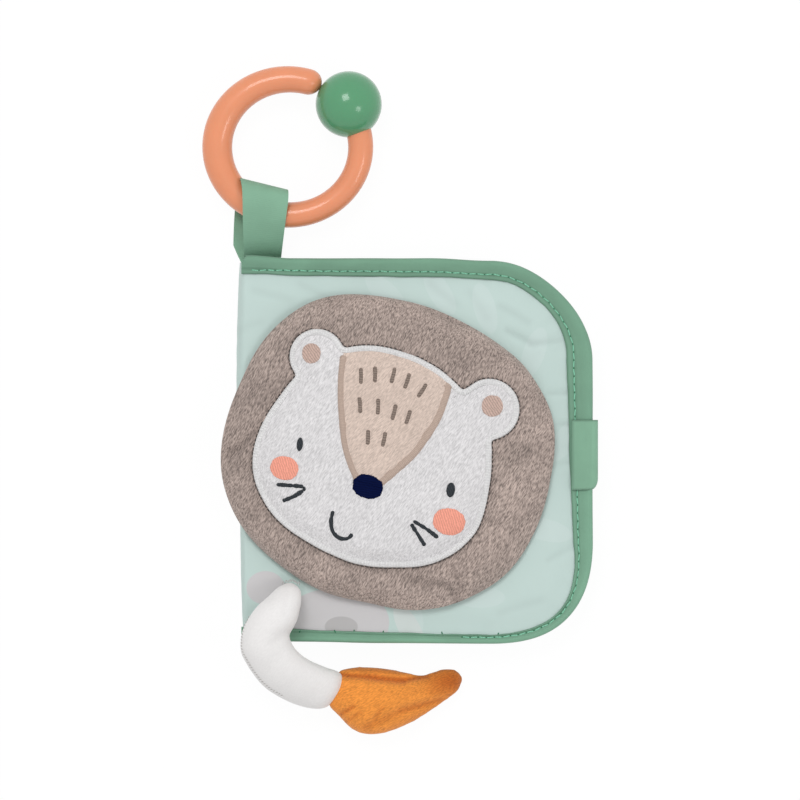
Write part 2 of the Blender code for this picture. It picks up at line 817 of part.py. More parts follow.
def hang_loop(carrier):
    """A ribbon sewn in at the head of the back cover, round the ring's tube and back."""
    root_y = BOOK_HEIGHT / 2 + LOOP_ROOT_GAP
    half = RIBBON_THICKNESS / 2
    rings = []
    for k in range(LOOP_STATIONS):
        share = k / (LOOP_STATIONS - 1)
        x = LOOP_LEFT_X + (LOOP_RIGHT_X - LOOP_LEFT_X) * share
        length = LOOP_LENGTH_LEFT + (LOOP_LENGTH_RIGHT - LOOP_LENGTH_LEFT) * share
        across = (x - RING_CENTRE_X) / RING_HALF_WIDTH
        tube = ring_point(-pi / 2 - Vector((0, 1)).angle(Vector((-across, sqrt(1 - across**2)))))
        slope = (tube.z - loop_root_z()) / (tube.y - root_y)

        line = []
        for i in range(LOOP_STEPS + 1):
            t = 2 * pi * i / LOOP_STEPS
            r = length * (1 - cos(t)) / 2
            swell = LOOP_SWELL * sin(t) * abs(sin(t / 2)) ** LOOP_FULLNESS
            spread = (half + LAYER_GAP) * cos(t / 2)
            line.append(Vector((root_y + r, loop_root_z() + slope * r - swell - spread)))
        normals = []
        for i in range(len(line)):
            step = line[min(i + 1, len(line) - 1)] - line[max(i - 1, 0)]
            normals.append(Vector((step.y, -step.x)).normalized())
        outside = [p + n * half for p, n in zip(line, normals)]
        inside = [p - n * half for p, n in zip(line, normals)]
        rings.append([(x, y, z) for y, z in outside + inside[::-1]])
    loft("hang_loop", rings, (BINDING_GREEN, 0.6), carrier)


def ring(carrier):
    ball_share = (BALL_RADIUS + BALL_GAP) / ((RING_HALF_WIDTH + RING_HALF_HEIGHT) / 2)
    start = radians(BALL_ANGLE) - ball_share
    end = radians(RING_END_ANGLE - 360)
    normal = ring_frame() @ Vector((0, 0, 1))
    tube = []
    for i in range(RING_STEPS + 1):
        a = start + (end - start) * i / RING_STEPS
        flat = Vector((RING_HALF_HEIGHT * cos(a), RING_HALF_WIDTH * sin(a), 0))
        side = ring_frame() @ flat.normalized()
        here = ring_point(a)
        tube.append(
            [
                here
                + side * RING_TUBE_RADIUS * cos(2 * pi * k / RING_SIDES)
                + normal * RING_TUBE_RADIUS * sin(2 * pi * k / RING_SIDES)
                for k in range(RING_SIDES)
            ]
        )
    tip, before = ring_point(end), ring_point(end + radians(1))
    ahead = (tip - before).normalized()
    tip_steps = 3
    full = tube[-1]
    for k in range(1, tip_steps + 1):
        a = pi / 2 * k / (tip_steps + 0.35)
        tube.append(
            [
                tip + ahead * RING_TUBE_RADIUS * sin(a) + (p - tip) * cos(a)
                for p in full
            ]
        )
    loft("ring", tube, (RING_CORAL, 0.25), carrier)

    a = radians(BALL_ANGLE)
    at = ring_centre() + ring_frame() @ Vector((BALL_OFFSET * cos(a), BALL_OFFSET * sin(a), 0))
    bm = bmesh.new()
    bmesh.ops.create_uvsphere(
        bm,
        u_segments=BALL_SEGMENTS,
        v_segments=BALL_RINGS,
        radius=BALL_RADIUS,
        matrix=Matrix.Translation(at),
    )
    solid("ball", bm, (BALL_GREEN, 0.2), carrier)


def build():
    clear_scene()
    hinge = (HINGE_X, 0, STACK / 2)
    page_pivot = pivot("page_turn_axis", hinge)
    cover_pivot = pivot("cover_open_axis", hinge, page_pivot)
    tail_pivot = pivot("tail_lift_axis", tail_root(), cover_pivot)
    root = (
        (LOOP_LEFT_X + LOOP_RIGHT_X) / 2,
        BOOK_HEIGHT / 2 + LOOP_ROOT_GAP,
        loop_root_z(),
    )
    loop_pivot = pivot("loop_swing_axis", root)
    ring_pivot = pivot("ring_turn_axis", ring_centre(), loop_pivot, ring_frame())

    carriers = {"back": None, "page": page_pivot, "front": cover_pivot}
    for i, name in enumerate(LEAVES):
        middle = LEAF_THICKNESS / 2 + i * (LEAF_THICKNESS + LEAF_GAP)
        upper, lower = {
            "back": ("inner", "outer"),
            "page": ("front", "back"),
            "front": ("outer", "inner"),
        }[name]
        leaf(name, middle, upper, lower, carriers[name])
    spine_gap = 2
    spine("spine_lower", 270, 180 + spine_gap, None)
    spine("spine_upper", 180 - spine_gap, 90, cover_pivot)
    pull_tab(cover_pivot, middle)
    pad(cover_pivot)
    face(cover_pivot)
    tail(tail_pivot)
    hang_loop(loop_pivot)
    ring(ring_pivot)


build()
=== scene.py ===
# %% [markdown]
# # A crinkle cloth book
# The book lies closed on a table: three quilted leaves bound with green tape, a plush face pad sewn to the cover,
# a stuffed tail, and an open plastic ring on a ribbon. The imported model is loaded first, because every piece here
# takes its place and its size from it.

from math import cos, pi, radians, sin

import bmesh
import bpy
import numpy as np
from mathutils import Matrix, Vector, noise
from mathutils.bvhtree import BVHTree


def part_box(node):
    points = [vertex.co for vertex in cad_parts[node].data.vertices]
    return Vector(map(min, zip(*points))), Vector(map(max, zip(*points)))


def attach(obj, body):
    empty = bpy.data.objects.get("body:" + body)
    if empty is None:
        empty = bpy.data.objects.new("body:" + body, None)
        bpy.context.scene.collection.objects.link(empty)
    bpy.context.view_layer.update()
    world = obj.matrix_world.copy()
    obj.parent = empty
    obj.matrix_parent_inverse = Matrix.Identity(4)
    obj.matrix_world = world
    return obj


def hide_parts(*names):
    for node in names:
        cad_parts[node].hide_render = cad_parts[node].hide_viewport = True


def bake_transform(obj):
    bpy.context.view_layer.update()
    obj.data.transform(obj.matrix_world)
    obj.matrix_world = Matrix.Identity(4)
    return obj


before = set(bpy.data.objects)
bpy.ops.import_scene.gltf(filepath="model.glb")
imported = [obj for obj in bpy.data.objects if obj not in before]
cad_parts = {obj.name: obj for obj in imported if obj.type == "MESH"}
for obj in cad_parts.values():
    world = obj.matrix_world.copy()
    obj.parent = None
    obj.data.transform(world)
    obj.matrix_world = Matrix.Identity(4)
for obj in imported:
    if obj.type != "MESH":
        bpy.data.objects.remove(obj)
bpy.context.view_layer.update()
MM = 0.001

# %% [markdown]
# ## The camera
# The photograph looks straight down on the book. One of its pixels is 0.41 mm on the table, so a place read from
# the photograph turns into metres with two short functions. A long lens from three metres keeps the view nearly
# parallel, as the photograph is.

# %% Camera
PIXEL = 0.41 * MM
IMAGE_SIZE = 800
CAMERA_HEIGHT = 3.0
FOCUS_HEIGHT = 12 * MM
SENSOR_WIDTH = 36


def photo_x(pixel):
    return (pixel - 414.5) * PIXEL


def photo_y(pixel):
    return (451 - pixel) * PIXEL


def photo_xy(*pixels):
    """Pixels of the photograph as (x, y) pairs in metres."""
    return [(photo_x(x), photo_y(y)) for x, y in pixels]


bpy.ops.object.camera_add(
    location=(photo_x(IMAGE_SIZE / 2), photo_y(IMAGE_SIZE / 2), CAMERA_HEIGHT),
    rotation=(0, 0, 0),
)
camera = bpy.context.object
camera.data.sensor_width = SENSOR_WIDTH
camera.data.lens = SENSOR_WIDTH * (CAMERA_HEIGHT - FOCUS_HEIGHT) / (IMAGE_SIZE * PIXEL)
camera.data.clip_end = 20
bpy.context.scene.camera = camera
bpy.context.scene.view_settings.view_transform = "Standard"
print("lens", round(camera.data.lens), "mm")

# %% [markdown]
# ## Small helpers
# Cloth pieces start as a primitive grid whose points a function then lays out, so that rows of faces run along
# the seams, where cloth puckers. The helpers below select one object, move a mesh's points as an array, and
# finish a piece with its material and its body.

# %% Helpers for selecting and shaping


def only(obj):
    bpy.ops.object.select_all(action="DESELECT")
    obj.select_set(True)
    bpy.context.view_layer.objects.active = obj
    return obj


def points_of(obj):
    co = np.zeros(len(obj.data.vertices) * 3)
    obj.data.vertices.foreach_get("co", co)
    return co.reshape(-1, 3)


def set_points(obj, co):
    obj.data.vertices.foreach_set("co", np.asarray(co, float).ravel())
    obj.data.update()


def tidy(obj, distance=2e-6, outward=True):
    """Merges points that meet and, where asked, turns all faces outwards."""
    only(obj)
    bpy.ops.object.mode_set(mode="EDIT")
    bpy.ops.mesh.select_all(action="SELECT")
    bpy.ops.mesh.remove_doubles(threshold=distance)
    if outward:
        bpy.ops.mesh.normals_make_consistent(inside=False)
    bpy.ops.object.mode_set(mode="OBJECT")
    return obj


def flip(obj):
    only(obj)
    bpy.ops.object.mode_set(mode="EDIT")
    bpy.ops.mesh.select_all(action="SELECT")
    bpy.ops.mesh.flip_normals()
    bpy.ops.object.mode_set(mode="OBJECT")


def face_out(obj, middle):
    """Turns a folded strip's faces away from the middle height of its fold."""
    if np.mean([p.normal.z * (p.center.z - middle) for p in obj.data.polygons]) < 0:
        flip(obj)


def folded_length(place):
    """The length of a folded strip along its middle, from one cut end to the other."""
    line = np.stack(place(np.full(400, 0.5), np.linspace(0, 1, 400)), 1)
    return float(np.linalg.norm(np.diff(line, axis=0), axis=1).sum())


def grid_piece(name, across, along, place, outward=True):
    """A primitive grid laid out by place(u, v), with u and v from 0 to 1; place gives x, y and z arrays."""
    bpy.ops.object.select_all(action="DESELECT")
    bpy.ops.mesh.primitive_grid_add(x_subdivisions=across, y_subdivisions=along, size=2)
    obj = bpy.context.object
    obj.name = obj.data.name = name
    co = points_of(obj)
    xyz = place((co[:, 0] + 1) / 2, (co[:, 1] + 1) / 2)
    set_points(obj, np.stack([np.broadcast_to(c, len(co)) for c in xyz], axis=1))
    return tidy(obj, outward=outward)


def modify(obj, kind, **settings):
    """Adds a modifier, sets it and applies it."""
    only(obj)
    modifier = obj.modifiers.new(kind.title(), kind)
    for key, value in settings.items():
        setattr(modifier, key, value)
    bpy.ops.object.modifier_apply(modifier=modifier.name)
    return obj


def smooth_step(low, high, value):
    t = np.clip((value - low) / (high - low), 0, 1)
    return t * t * (3 - 2 * t)


def rough(co, size, seed=0.0):
    """Smooth noise from -1 to 1 at each point, with features of the given size."""
    return np.array([noise.noise(Vector((x, y, z + seed)) / size) for x, y, z in co])


def darken(obj, amount):
    """Keeps in the mesh how shaded each point is, from 0 to 1, for the material to read."""
    # the valley attribute holds painted shade, and is also set inside the pad's rim so that the rim looks lighter
    layer = obj.data.attributes.get("valley") or obj.data.attributes.new("valley", "FLOAT", "POINT")
    old = np.zeros(len(obj.data.vertices), dtype=np.float32)
    layer.data.foreach_get("value", old)
    layer.data.foreach_set("value", np.clip(np.maximum(old, amount), 0, 1).astype(np.float32))


def press_creases(obj, creases, shade=0.7, top_only=True):
    """Presses long soft creases down into a piece, each between two places of the photograph, and marks painted shade
    along them.
    """
    co = points_of(obj)
    low, high = co[:, 2].min(), co[:, 2].max()
    share = smooth_step(low, low + 0.4 * (high - low), co[:, 2]) if top_only else 1.0
    dark = np.zeros(len(co))
    for start, end, half, depth in creases:
        (x0, y0), (x1, y1) = photo_xy(start, end)
        line = np.array([x1 - x0, y1 - y0])
        at = co[:, :2] - (x0, y0)
        t = np.clip(at @ line / (line @ line), 0, 1)
        away = np.linalg.norm(at - t[:, None] * line, axis=1) / (half * MM)
        weight = np.exp(-(away**2)) * (0.4 + 0.6 * np.sin(pi * np.clip(t, 0.05, 0.95)))
        co[:, 2] -= share * weight * depth * MM
        # painted shade along each crease
        dark = np.maximum(dark, np.exp(-(away**2) * 1.8) * min(1.0, depth / 1.5))
    set_points(obj, co)
    darken(obj, shade * dark)


def darken_patches(obj, patches):
    """Patches painted darker, for pile brushed the other way and for painted shade on folds and shaded places: place,
    half sizes in pixels, turn in degrees and strength.
    """
    co = points_of(obj)
    for (px, py), (wide, high), turn, strength in patches:
        x, y = (co[:, 0] - photo_x(px)) / PIXEL, (co[:, 1] - photo_y(py)) / PIXEL
        c, s = cos(radians(turn)), sin(radians(turn))
        away = ((c * x + s * y) / wide) ** 2 + ((c * y - s * x) / high) ** 2
        ragged = 1 + 0.6 * rough(co, 5 * MM, 3.0)
        darken(obj, strength * np.exp(-away * ragged))


def finish(obj, material, body, replaces=(), angle=60):
    """Gives a piece its material and body, and the nodes that it stands for."""
    obj.data.materials.clear()
    obj.data.materials.append(material)
    only(obj)
    bpy.ops.object.shade_smooth_by_angle(angle=radians(angle))
    if body:
        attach(obj, body)
    if replaces:
        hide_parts(*replaces)
    low, high = np.min(points_of(obj), axis=0), np.max(points_of(obj), axis=0)
    print(obj.name, "mm", np.round((high - low) / MM, 1), "faces", len(obj.data.polygons))
    return obj


# %% [markdown]
# ## Light and floor
# The photograph has flat studio light from the upper left and a white ground. The world gives most of the light,
# one large lamp gives the soft shading and the highlights on the plastic, and the floor is white where the camera
# sees it, with the object's shadow kept faintly.

# %% Lamps, world and floor
WORLD_STRENGTH = 0.66
KEY_ENERGY = 16.0
FILL_ENERGY = 6.0


def lamp(name, place, size, energy):
    bpy.ops.object.light_add(type="AREA", location=place)
    light = bpy.context.object
    light.name = name
    light.data.size = size
    light.data.energy = energy
    towards = Vector((0, 0, 0)) - Vector(place)
    light.rotation_euler = towards.to_track_quat("-Z", "Y").to_euler()
    return light


lamp("key", (-0.4, 0.95, 1.95), 0.8, KEY_ENERGY)
lamp("fill", (1.2, -0.5, 1.7), 0.6, FILL_ENERGY)


def seen_directly(tree):
    """1 for rays from the camera, from gloss and through glass, which all see the white ground."""
    path = tree.nodes.new("ShaderNodeLightPath")
    seen = path.outputs["Is Camera Ray"]
    for ray in ("Is Glossy Ray", "Is Transmission Ray"):
        either = tree.nodes.new("ShaderNodeMath")
        either.operation = "MAXIMUM"
        tree.links.new(seen, either.inputs[0])
        tree.links.new(path.outputs[ray], either.inputs[1])
        seen = either.outputs[0]
    return seen


world = bpy.data.worlds.new("studio")
bpy.context.scene.world = world
world.use_nodes = True
tree = world.node_tree
tree.nodes.clear()
dim = tree.nodes.new("ShaderNodeBackground")
dim.inputs["Strength"].default_value = WORLD_STRENGTH
white = tree.nodes.new("ShaderNodeBackground")
white.inputs["Strength"].default_value = 1.0
for shader in (dim, white):
    shader.inputs["Color"].default_value = (1, 1, 1, 1)
mix = tree.nodes.new("ShaderNodeMixShader")
tree.links.new(seen_directly(tree), mix.inputs[0])
tree.links.new(dim.outputs[0], mix.inputs[1])
tree.links.new(white.outputs[0], mix.inputs[2])
out = tree.nodes.new("ShaderNodeOutputWorld")
tree.links.new(mix.outputs[0], out.inputs["Surface"])

bpy.ops.mesh.primitive_plane_add(size=6, location=(0, 0, -0.0003))
floor = bpy.context.object
floor.name = "floor"
paper = bpy.data.materials.new("floor_paper")
paper.use_nodes = True
tree = paper.node_tree
shader = tree.nodes["Principled BSDF"]
shader.inputs["Base Color"].default_value = (0.88, 0.88, 0.88, 1)
shader.inputs["Roughness"].default_value = 0.9
glow = tree.nodes.new("ShaderNodeEmission")
glow.inputs["Color"].default_value = (1, 1, 1, 1)
glow.inputs["Strength"].default_value = 1.01
share = tree.nodes.new("ShaderNodeMath")
share.operation = "MULTIPLY"
share.inputs[1].default_value = 0.95
mix = tree.nodes.new("ShaderNodeMixShader")
tree.links.new(seen_directly(tree), share.inputs[0])
tree.links.new(share.outputs[0], mix.inputs[0])
tree.links.new(shader.outputs[0], mix.inputs[1])
tree.links.new(glow.outputs[0], mix.inputs[2])
tree.links.new(mix.outputs[0], tree.nodes["Material Output"].inputs["Surface"])
floor.data.materials.append(paper)

# %% [markdown]
# ## Materials
# All the finishes are cloth or glossy plastic. Each starts from a Principled shader with the colour read from the
# photograph. Velour needs a short directional pile, tape and cotton a fine weave, and embroidery threads that
# lie side by side. The patterns use Object coordinates, or the piece's own UV map where threads follow a seam.

# %% Node helpers


def linear(rgb):
    """An sRGB colour, 0 to 255, as the linear colour that a shader takes."""
    shares = np.array(rgb, float) / 255
    low = shares / 12.92
    high = ((shares + 0.055) / 1.055) ** 2.4
    return (*np.where(shares <= 0.04045, low, high), 1.0)


class Maker:
    """A material's node tree, with short words for adding and joining nodes."""

    def __init__(self, name, roughness, sheen=0.0, coat=0.0):
        self.material = bpy.data.materials.new(name)
        self.material.use_nodes = True
        self.tree = self.material.node_tree
        self.shader = self.tree.nodes["Principled BSDF"]
        self.shader.inputs["Roughness"].default_value = roughness
        self.shader.inputs["Sheen Weight"].default_value = sheen
        self.shader.inputs["Sheen Roughness"].default_value = 0.45
        self.shader.inputs["Coat Weight"].default_value = coat
        self.shader.inputs["Coat Roughness"].default_value = 0.05

    def add(self, kind, output=0, inputs=(), **settings):
        node = self.tree.nodes.new("ShaderNode" + kind)
        for key, value in settings.items():
            setattr(node, key, value)
        for socket, value in dict(inputs).items():
            if isinstance(value, bpy.types.NodeSocket):
                self.tree.links.new(value, node.inputs[socket])
            else:
                node.inputs[socket].default_value = value
        return node.outputs[output]

    def coordinates(self, stretch=(1, 1, 1), turn=0.0, uv=False):
        """The pattern's own space: its X axis turned by turn, the pattern stretched along its axes."""
        base = self.add("TexCoord", output="UV" if uv else "Object")
        return self.add(
            "Mapping",
            inputs={"Vector": base, "Scale": stretch, "Rotation": (0, 0, turn)},
            vector_type="TEXTURE",
        )

    def noise(self, vector, scale, detail=2.0):
        return self.add(
            "TexNoise", inputs={"Vector": vector, "Scale": scale, "Detail": detail}
        )

    def remap(self, value, low, high, new_low, new_high):
        return self.add(
            "MapRange",
            inputs={0: value, 1: low, 2: high, 3: new_low, 4: new_high},
        )

    def math(self, operation, a, b=0.0):
        return self.add("Math", inputs={0: a, 1: b}, operation=operation)

    def tint(self, factor, one, two):
        """Two colours mixed by a factor."""
        return self.add(
            "Mix", output=2, inputs={0: factor, 6: one, 7: two}, data_type="RGBA"
        )

    def shade(self, colour, strength):
        """A colour made lighter and darker by a factor round 1."""
        return self.add(
            "HueSaturation", inputs={"Color": colour, "Value": strength}
        )

    def colour(self, value):
        socket = self.shader.inputs["Base Color"]
        if isinstance(value, bpy.types.NodeSocket):
            self.tree.links.new(value, socket)
        else:
            socket.default_value = value

    def painted_shade(self, depth):
        """Painted shade: a factor that falls below 1 where darken() has marked the mesh."""
        marked = self.add("Attribute", output=2, attribute_name="valley")
        return self.math("SUBTRACT", 1.0, self.math("MULTIPLY", marked, depth))

    def bump(self, height, distance, strength=1.0):
        out = self.add(
            "Bump",
            inputs={"Height": height, "Distance": distance, "Strength": strength},
        )
        self.tree.links.new(out, self.shader.inputs["Normal"])


# %% Velour, for the pad, the face, the tail and its tuft


def velour(name, colour, turn=1.05, contrast=0.13, depth=0.3 * MM, patches=0.03, lit_side=None, shade_colour=None):
    """Short pile that lies along one direction, with brushed patches, and painted shade where darken() has marked the
    mesh.

    lit_side is (x, y, amount): painted light, the piece lighter towards that side and darker away from it.
    shade_colour is a painted shade colour, mixed in where darken() has marked the mesh."""
    m = Maker(name, roughness=0.95, sheen=0.25)
    pile = m.noise(m.coordinates(stretch=(4.4, 1, 1.4), turn=turn), 2500, 1)
    tufts = m.noise(m.coordinates(stretch=(3, 1, 1), turn=turn + 0.35), 1300, 1)
    brushed = m.noise(m.coordinates(stretch=(1.8, 1, 1), turn=turn - 0.6), 70, 3)
    mixed = m.math("ADD", m.math("MULTIPLY", pile, 0.75), m.math("MULTIPLY", tufts, 0.25))
    fine = m.remap(mixed, 0.33, 0.67, 1 - contrast, 1 + contrast)
    broad = m.remap(brushed, 0.3, 0.7, 1 - patches, 1 + patches)
    light = m.math("MULTIPLY", fine, broad)
    # painted light: the piece is lighter towards one side and darker away from it
    if lit_side:
        x, y, amount = lit_side
        place = m.add("TexCoord", output="Object")
        along = m.add("VectorMath", output=1, inputs={0: place, 1: (x, y, 0)}, operation="DOT_PRODUCT")
        light = m.math("MULTIPLY", light, m.remap(along, -0.065, 0.065, 1 - amount, 1 + amount))
    ground = linear(colour)
    # painted shade: a darker colour mixed in where darken() has marked the mesh
    if shade_colour:
        ground = m.tint(m.add("Attribute", output=2, attribute_name="valley"), ground, linear(shade_colour))
    # painted shade where darken() has marked the mesh
    m.colour(m.shade(ground, m.math("MULTIPLY", light, m.painted_shade(0.15 if shade_colour else 0.45))))
    m.bump(mixed, depth)
    return m.material


# the mane is painted lighter towards its lower right
mane_velour = velour("mane_velour", (165, 149, 141), contrast=0.55, patches=0.12, lit_side=(0.7, -0.7, 0.05))
face_velour = velour("face_velour", (215, 213, 214), turn=0.95, contrast=0.2, patches=0.02)
forehead_velour = velour("forehead_velour", (207, 188, 176), turn=0.8, contrast=0.2)
tail_velour = velour("tail_velour", (233, 231, 230), turn=0.8, contrast=0.03, depth=0.1 * MM, patches=0.01)
# the tuft gets a darker painted shade colour in its creases and shaded patches
tuft_velour = velour("tuft_velour", (232, 144, 58), turn=0.5, contrast=0.24, depth=0.2 * MM, shade_colour=(176, 78, 2))

# %% Woven cotton tape and ribbon, with the pattern along the piece's own UV map


def woven(name, colour, threads, sheen=0.15, tape=False):
    """A plain weave: two crossed waves, with the cloth's slight unevenness.

    A tape also gets painted light along its fold, painted shade in its sewn valley, a painted shadow along its inner
    edges, and is painted lighter towards the foot and darker towards the head."""
    m = Maker(name, roughness=0.75, sheen=sheen)
    across = m.add("TexWave", inputs={"Vector": m.coordinates(uv=True), "Scale": threads[0]})
    along = m.add(
        "TexWave",
        inputs={"Vector": m.coordinates(uv=True, turn=pi / 2), "Scale": threads[1]},
    )
    weave = m.math("MULTIPLY", across, along)
    uneven = m.noise(m.coordinates(), 60, 4)
    light = m.remap(uneven, 0.3, 0.7, 0.92, 1.08)
    fine = m.remap(weave, 0.0, 1.0, 0.95, 1.05)
    factor = m.math("MULTIPLY", light, fine)
    if tape:
        split = m.add("SeparateXYZ", output=1, inputs={0: m.add("TexCoord", output="UV")})
        from_fold = m.math("MULTIPLY", m.math("ABSOLUTE", m.math("SUBTRACT", split, 0.5)), 2.0)
        # painted light: the tape is lighter along its fold
        painted_fold_sheen = m.remap(from_fold, 0.1, 0.45, 1.1, 0.97)
        # painted shade in the sewn valley
        valley = m.math("ABSOLUTE", m.math("SUBTRACT", from_fold, 0.7))
        dark = m.remap(valley, 0.02, 0.13, 0.86, 1.0)
        # painted shadow along the tape's inner edges
        edge = m.remap(from_fold, 0.9, 1.0, 1.0, 0.68)
        # painted light and shade: lighter towards the foot, darker towards the head
        side = m.add("SeparateXYZ", output=1, inputs={0: m.add("TexCoord", output="Object")})
        factor = m.math("MULTIPLY", factor, m.remap(side, -0.08, 0.08, 1.1, 0.9))
        factor = m.math("MULTIPLY", m.math("MULTIPLY", factor, edge), m.math("MULTIPLY", painted_fold_sheen, dark))
    # painted shade where darken() has marked the mesh
    factor = m.math("MULTIPLY", factor, m.painted_shade(0.5))
    m.colour(m.shade(linear(colour), factor))
    m.bump(m.math("ADD", weave, m.math("MULTIPLY", uneven, 1.5)), 0.06 * MM)
    return m.material


tape_cloth = woven("tape_cloth", (115, 158, 133), (260, 12), tape=True)
ribbon_cloth = woven("ribbon_cloth", (131, 176, 149), (22, 40))

# %% Embroidery thread and sewing thread


def thread(name, colour, threads=330.0, turn=0.0, uv=False, contrast=0.14):
    """Satin stitch: threads side by side, each catching the light along its middle."""
    m = Maker(name, roughness=0.7)
    m.shader.inputs["Specular IOR Level"].default_value = 0.05
    at = m.coordinates(uv=uv, turn=turn)
    lines = m.add(
        "TexWave", inputs={"Vector": at, "Scale": threads, "Distortion": 3.5, "Detail": 2.0, "Detail Scale": 1.5}
    )
    uneven = m.noise(m.coordinates(), 1500, 2)
    light = m.remap(
        m.math("ADD", m.math("MULTIPLY", lines, 0.6), uneven), 0.4, 1.2, 1 - contrast, 1 + 0.7 * contrast
    )
    m.colour(m.shade(linear(colour), light))
    m.bump(lines, 0.12 * MM)
    return m.material


white_satin = thread("white_satin", (237, 236, 236), 96, uv=True, contrast=0.08)
brown_satin = thread("brown_satin", (192, 171, 158), 26, uv=True, contrast=0.14)
navy_thread = thread("navy_thread", (2, 13, 54), turn=1.4, contrast=0.3)
coral_thread = thread("coral_thread", (240, 162, 142), turn=0.3, contrast=0.2)
tan_thread = thread("tan_thread", (195, 169, 158), turn=0.6, contrast=0.3)
grey_thread = thread("grey_thread", (56, 60, 64), turn=0.4, contrast=0.3)
mark_thread = thread("mark_thread", (136, 122, 113), turn=1.5, contrast=0.35)
seam_thread = thread("seam_thread", (136, 200, 170), turn=0.3)
hole_thread = thread("hole_thread", (58, 122, 90), turn=0.3)
outline_thread = thread("outline_thread", (78, 72, 70), turn=0.3)
faint_thread = thread("faint_thread", (180, 177, 174), turn=0.3)

# %% Glossy plastic for the ring and its ball


def plastic(name, colour, roughness=0.22, coat=0.5):
    m = Maker(name, roughness=roughness, coat=coat)
    clouds = m.noise(m.coordinates(), 90, 2)
    m.colour(m.shade(linear(colour), m.remap(clouds, 0.3, 0.7, 0.98, 1.02)))
    m.bump(m.noise(m.coordinates(), 220, 2), 0.02 * MM)
    m.shader.inputs["Specular IOR Level"].default_value = 0.3
    m.shader.inputs["Subsurface Weight"].default_value = 0.08
    m.shader.inputs["Subsurface Radius"].default_value = (0.003, 0.0015, 0.001)
    return m.material


ring_plastic = plastic("ring_plastic", (229, 146, 106), roughness=0.3, coat=0.3)
ball_plastic = plastic("ball_plastic", (86, 151, 110), roughness=0.2, coat=0.3)

# %% [markdown]
# ## The printed cotton
# The covers are pale mint cotton with a quiet print. Its shapes are plain ovals: pale grey pebbles, a darker spot
# and leaves a shade lighter than the ground. Each oval is a distance from its own middle, read on Object
# coordinates, so the print stays on the cloth when the cover opens.

# %% Mint cotton with printed ovals
MINT = (190, 209, 204)
PEBBLE = (200, 198, 199)
SPOT = (181, 179, 179)
PALE_LEAF = (195, 212, 208)
BLUSH = (236, 206, 190)


def printed(name, ovals):
    """Cotton with ovals, each (x, y, half width, half height, turn in degrees, colour)."""
    m = Maker(name, roughness=0.82, sheen=0.12)
    base = m.add("TexCoord", output="Object")
    colour = m.tint(0.0, linear(MINT), linear(MINT))
    for x, y, wide, high, turn, rgb in ovals:
        a = radians(turn)
        flat = m.add(
            "Mapping",
            inputs={
                "Vector": base,
                "Location": (x, y, 0),
                "Rotation": (0, 0, a),
                "Scale": (wide, high, 1e6),
            },
            vector_type="TEXTURE",
        )
        away = m.add("VectorMath", output=1, inputs={0: flat}, operation="LENGTH")
        inside = m.remap(away, 1.0, 1.0 - 0.3 * MM / min(wide, high), 0, 1)
        colour = m.tint(inside, colour, linear(rgb))
    weave = m.noise(m.coordinates(), 2600, 1)
    uneven = m.noise(m.coordinates(), 30, 3)
    # painted shade along the pressed creases
    m.colour(m.shade(colour, m.math("MULTIPLY", m.remap(uneven, 0.3, 0.7, 0.985, 1.015), m.painted_shade(0.3))))
    m.bump(m.math("ADD", m.math("MULTIPLY", weave, 0.3), uneven), 0.05 * MM)
    return m.material


def leaves_round(count, radius, size, seed):
    """Pale leaves spread round the cover at different turns."""
    leaves = []
    for i in range(count):
        a = 2 * pi * (i + 0.37 * sin(seed + i)) / count
        leaves.append(
            (
                radius[0] * cos(a),
                radius[1] * sin(a),
                size,
                0.42 * size,
                np.degrees(a) + 40 + 25 * sin(3 * i + seed),
                PALE_LEAF,
            )
        )
    return leaves


front_print = printed(
    "front_print",
    leaves_round(13, (62 * MM, 66 * MM), 11 * MM, 0.4)
    + [
        (-34 * MM, -72 * MM, 24 * MM, 16 * MM, 8, PEBBLE),
        (-61 * MM, -56 * MM, 8 * MM, 7 * MM, 0, PEBBLE),
        (-2 * MM, -73 * MM, 4.5 * MM, 12 * MM, 28, (203, 212, 209)),
        (-30 * MM, -72 * MM, 7 * MM, 4.4 * MM, 0, SPOT),
    ],
)
inner_print = printed(
    "inner_print",
    leaves_round(11, (44 * MM, 50 * MM), 12 * MM, 1.9)
    + [
        (-5 * MM, -6 * MM, 24 * MM, 20 * MM, 15, PEBBLE),
        (20 * MM, 18 * MM, 9 * MM, 9 * MM, 0, BLUSH),
        (-14 * MM, -4 * MM, 7 * MM, 5 * MM, 20, SPOT),
    ],
)

# %% [markdown]
# ## The leaves' outline
# Head, fore edge and foot are bound, with two round corners; the spine side is open. A path runs along the three
# bound sides. Insets differ from side to side, because the tape shows 8 mm wide at the head, 10 mm at the fore
# edge and 5 mm at the foot.

# %% Outline and panel of a leaf
tape_low, tape_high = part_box("front_binding")
HALF_WIDTH = tape_high.x
HALF_HEIGHT = tape_high.y
CORNER = 42 * MM
SPINE_X = tape_low.x
TAPE_HALF = (tape_high.z - tape_low.z) / 2
LEAF_HALF = 2.5 * MM
PINCH = 11 * MM
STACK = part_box("front_outer_cloth")[1].z
LEAF_MIDDLES = {
    name: (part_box(f"{name}_binding")[0].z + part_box(f"{name}_binding")[1].z) / 2
    for name in ("back", "page", "front")
}
SECTION_SHARES = np.array([0.0, 0.24, 0.41, 0.59, 0.76, 1.0])
WIDTH_AT = (0.0, 0.24, 0.325, 0.41, 0.59, 0.675, 0.76, 1.0)  # shares of the path from head to foot
WIDTH_THERE = np.array((6.9, 8.0, 8.4, 10.8, 8.2, 4.7, 3.7, 5.5)) * MM
UPPER_CORNER, LOWER_CORNER = -1.6 * MM, 2.8 * MM  # how far each corner stands out from its round
FOOT_RISE = 1.3 * MM  # the foot slopes up towards the spine
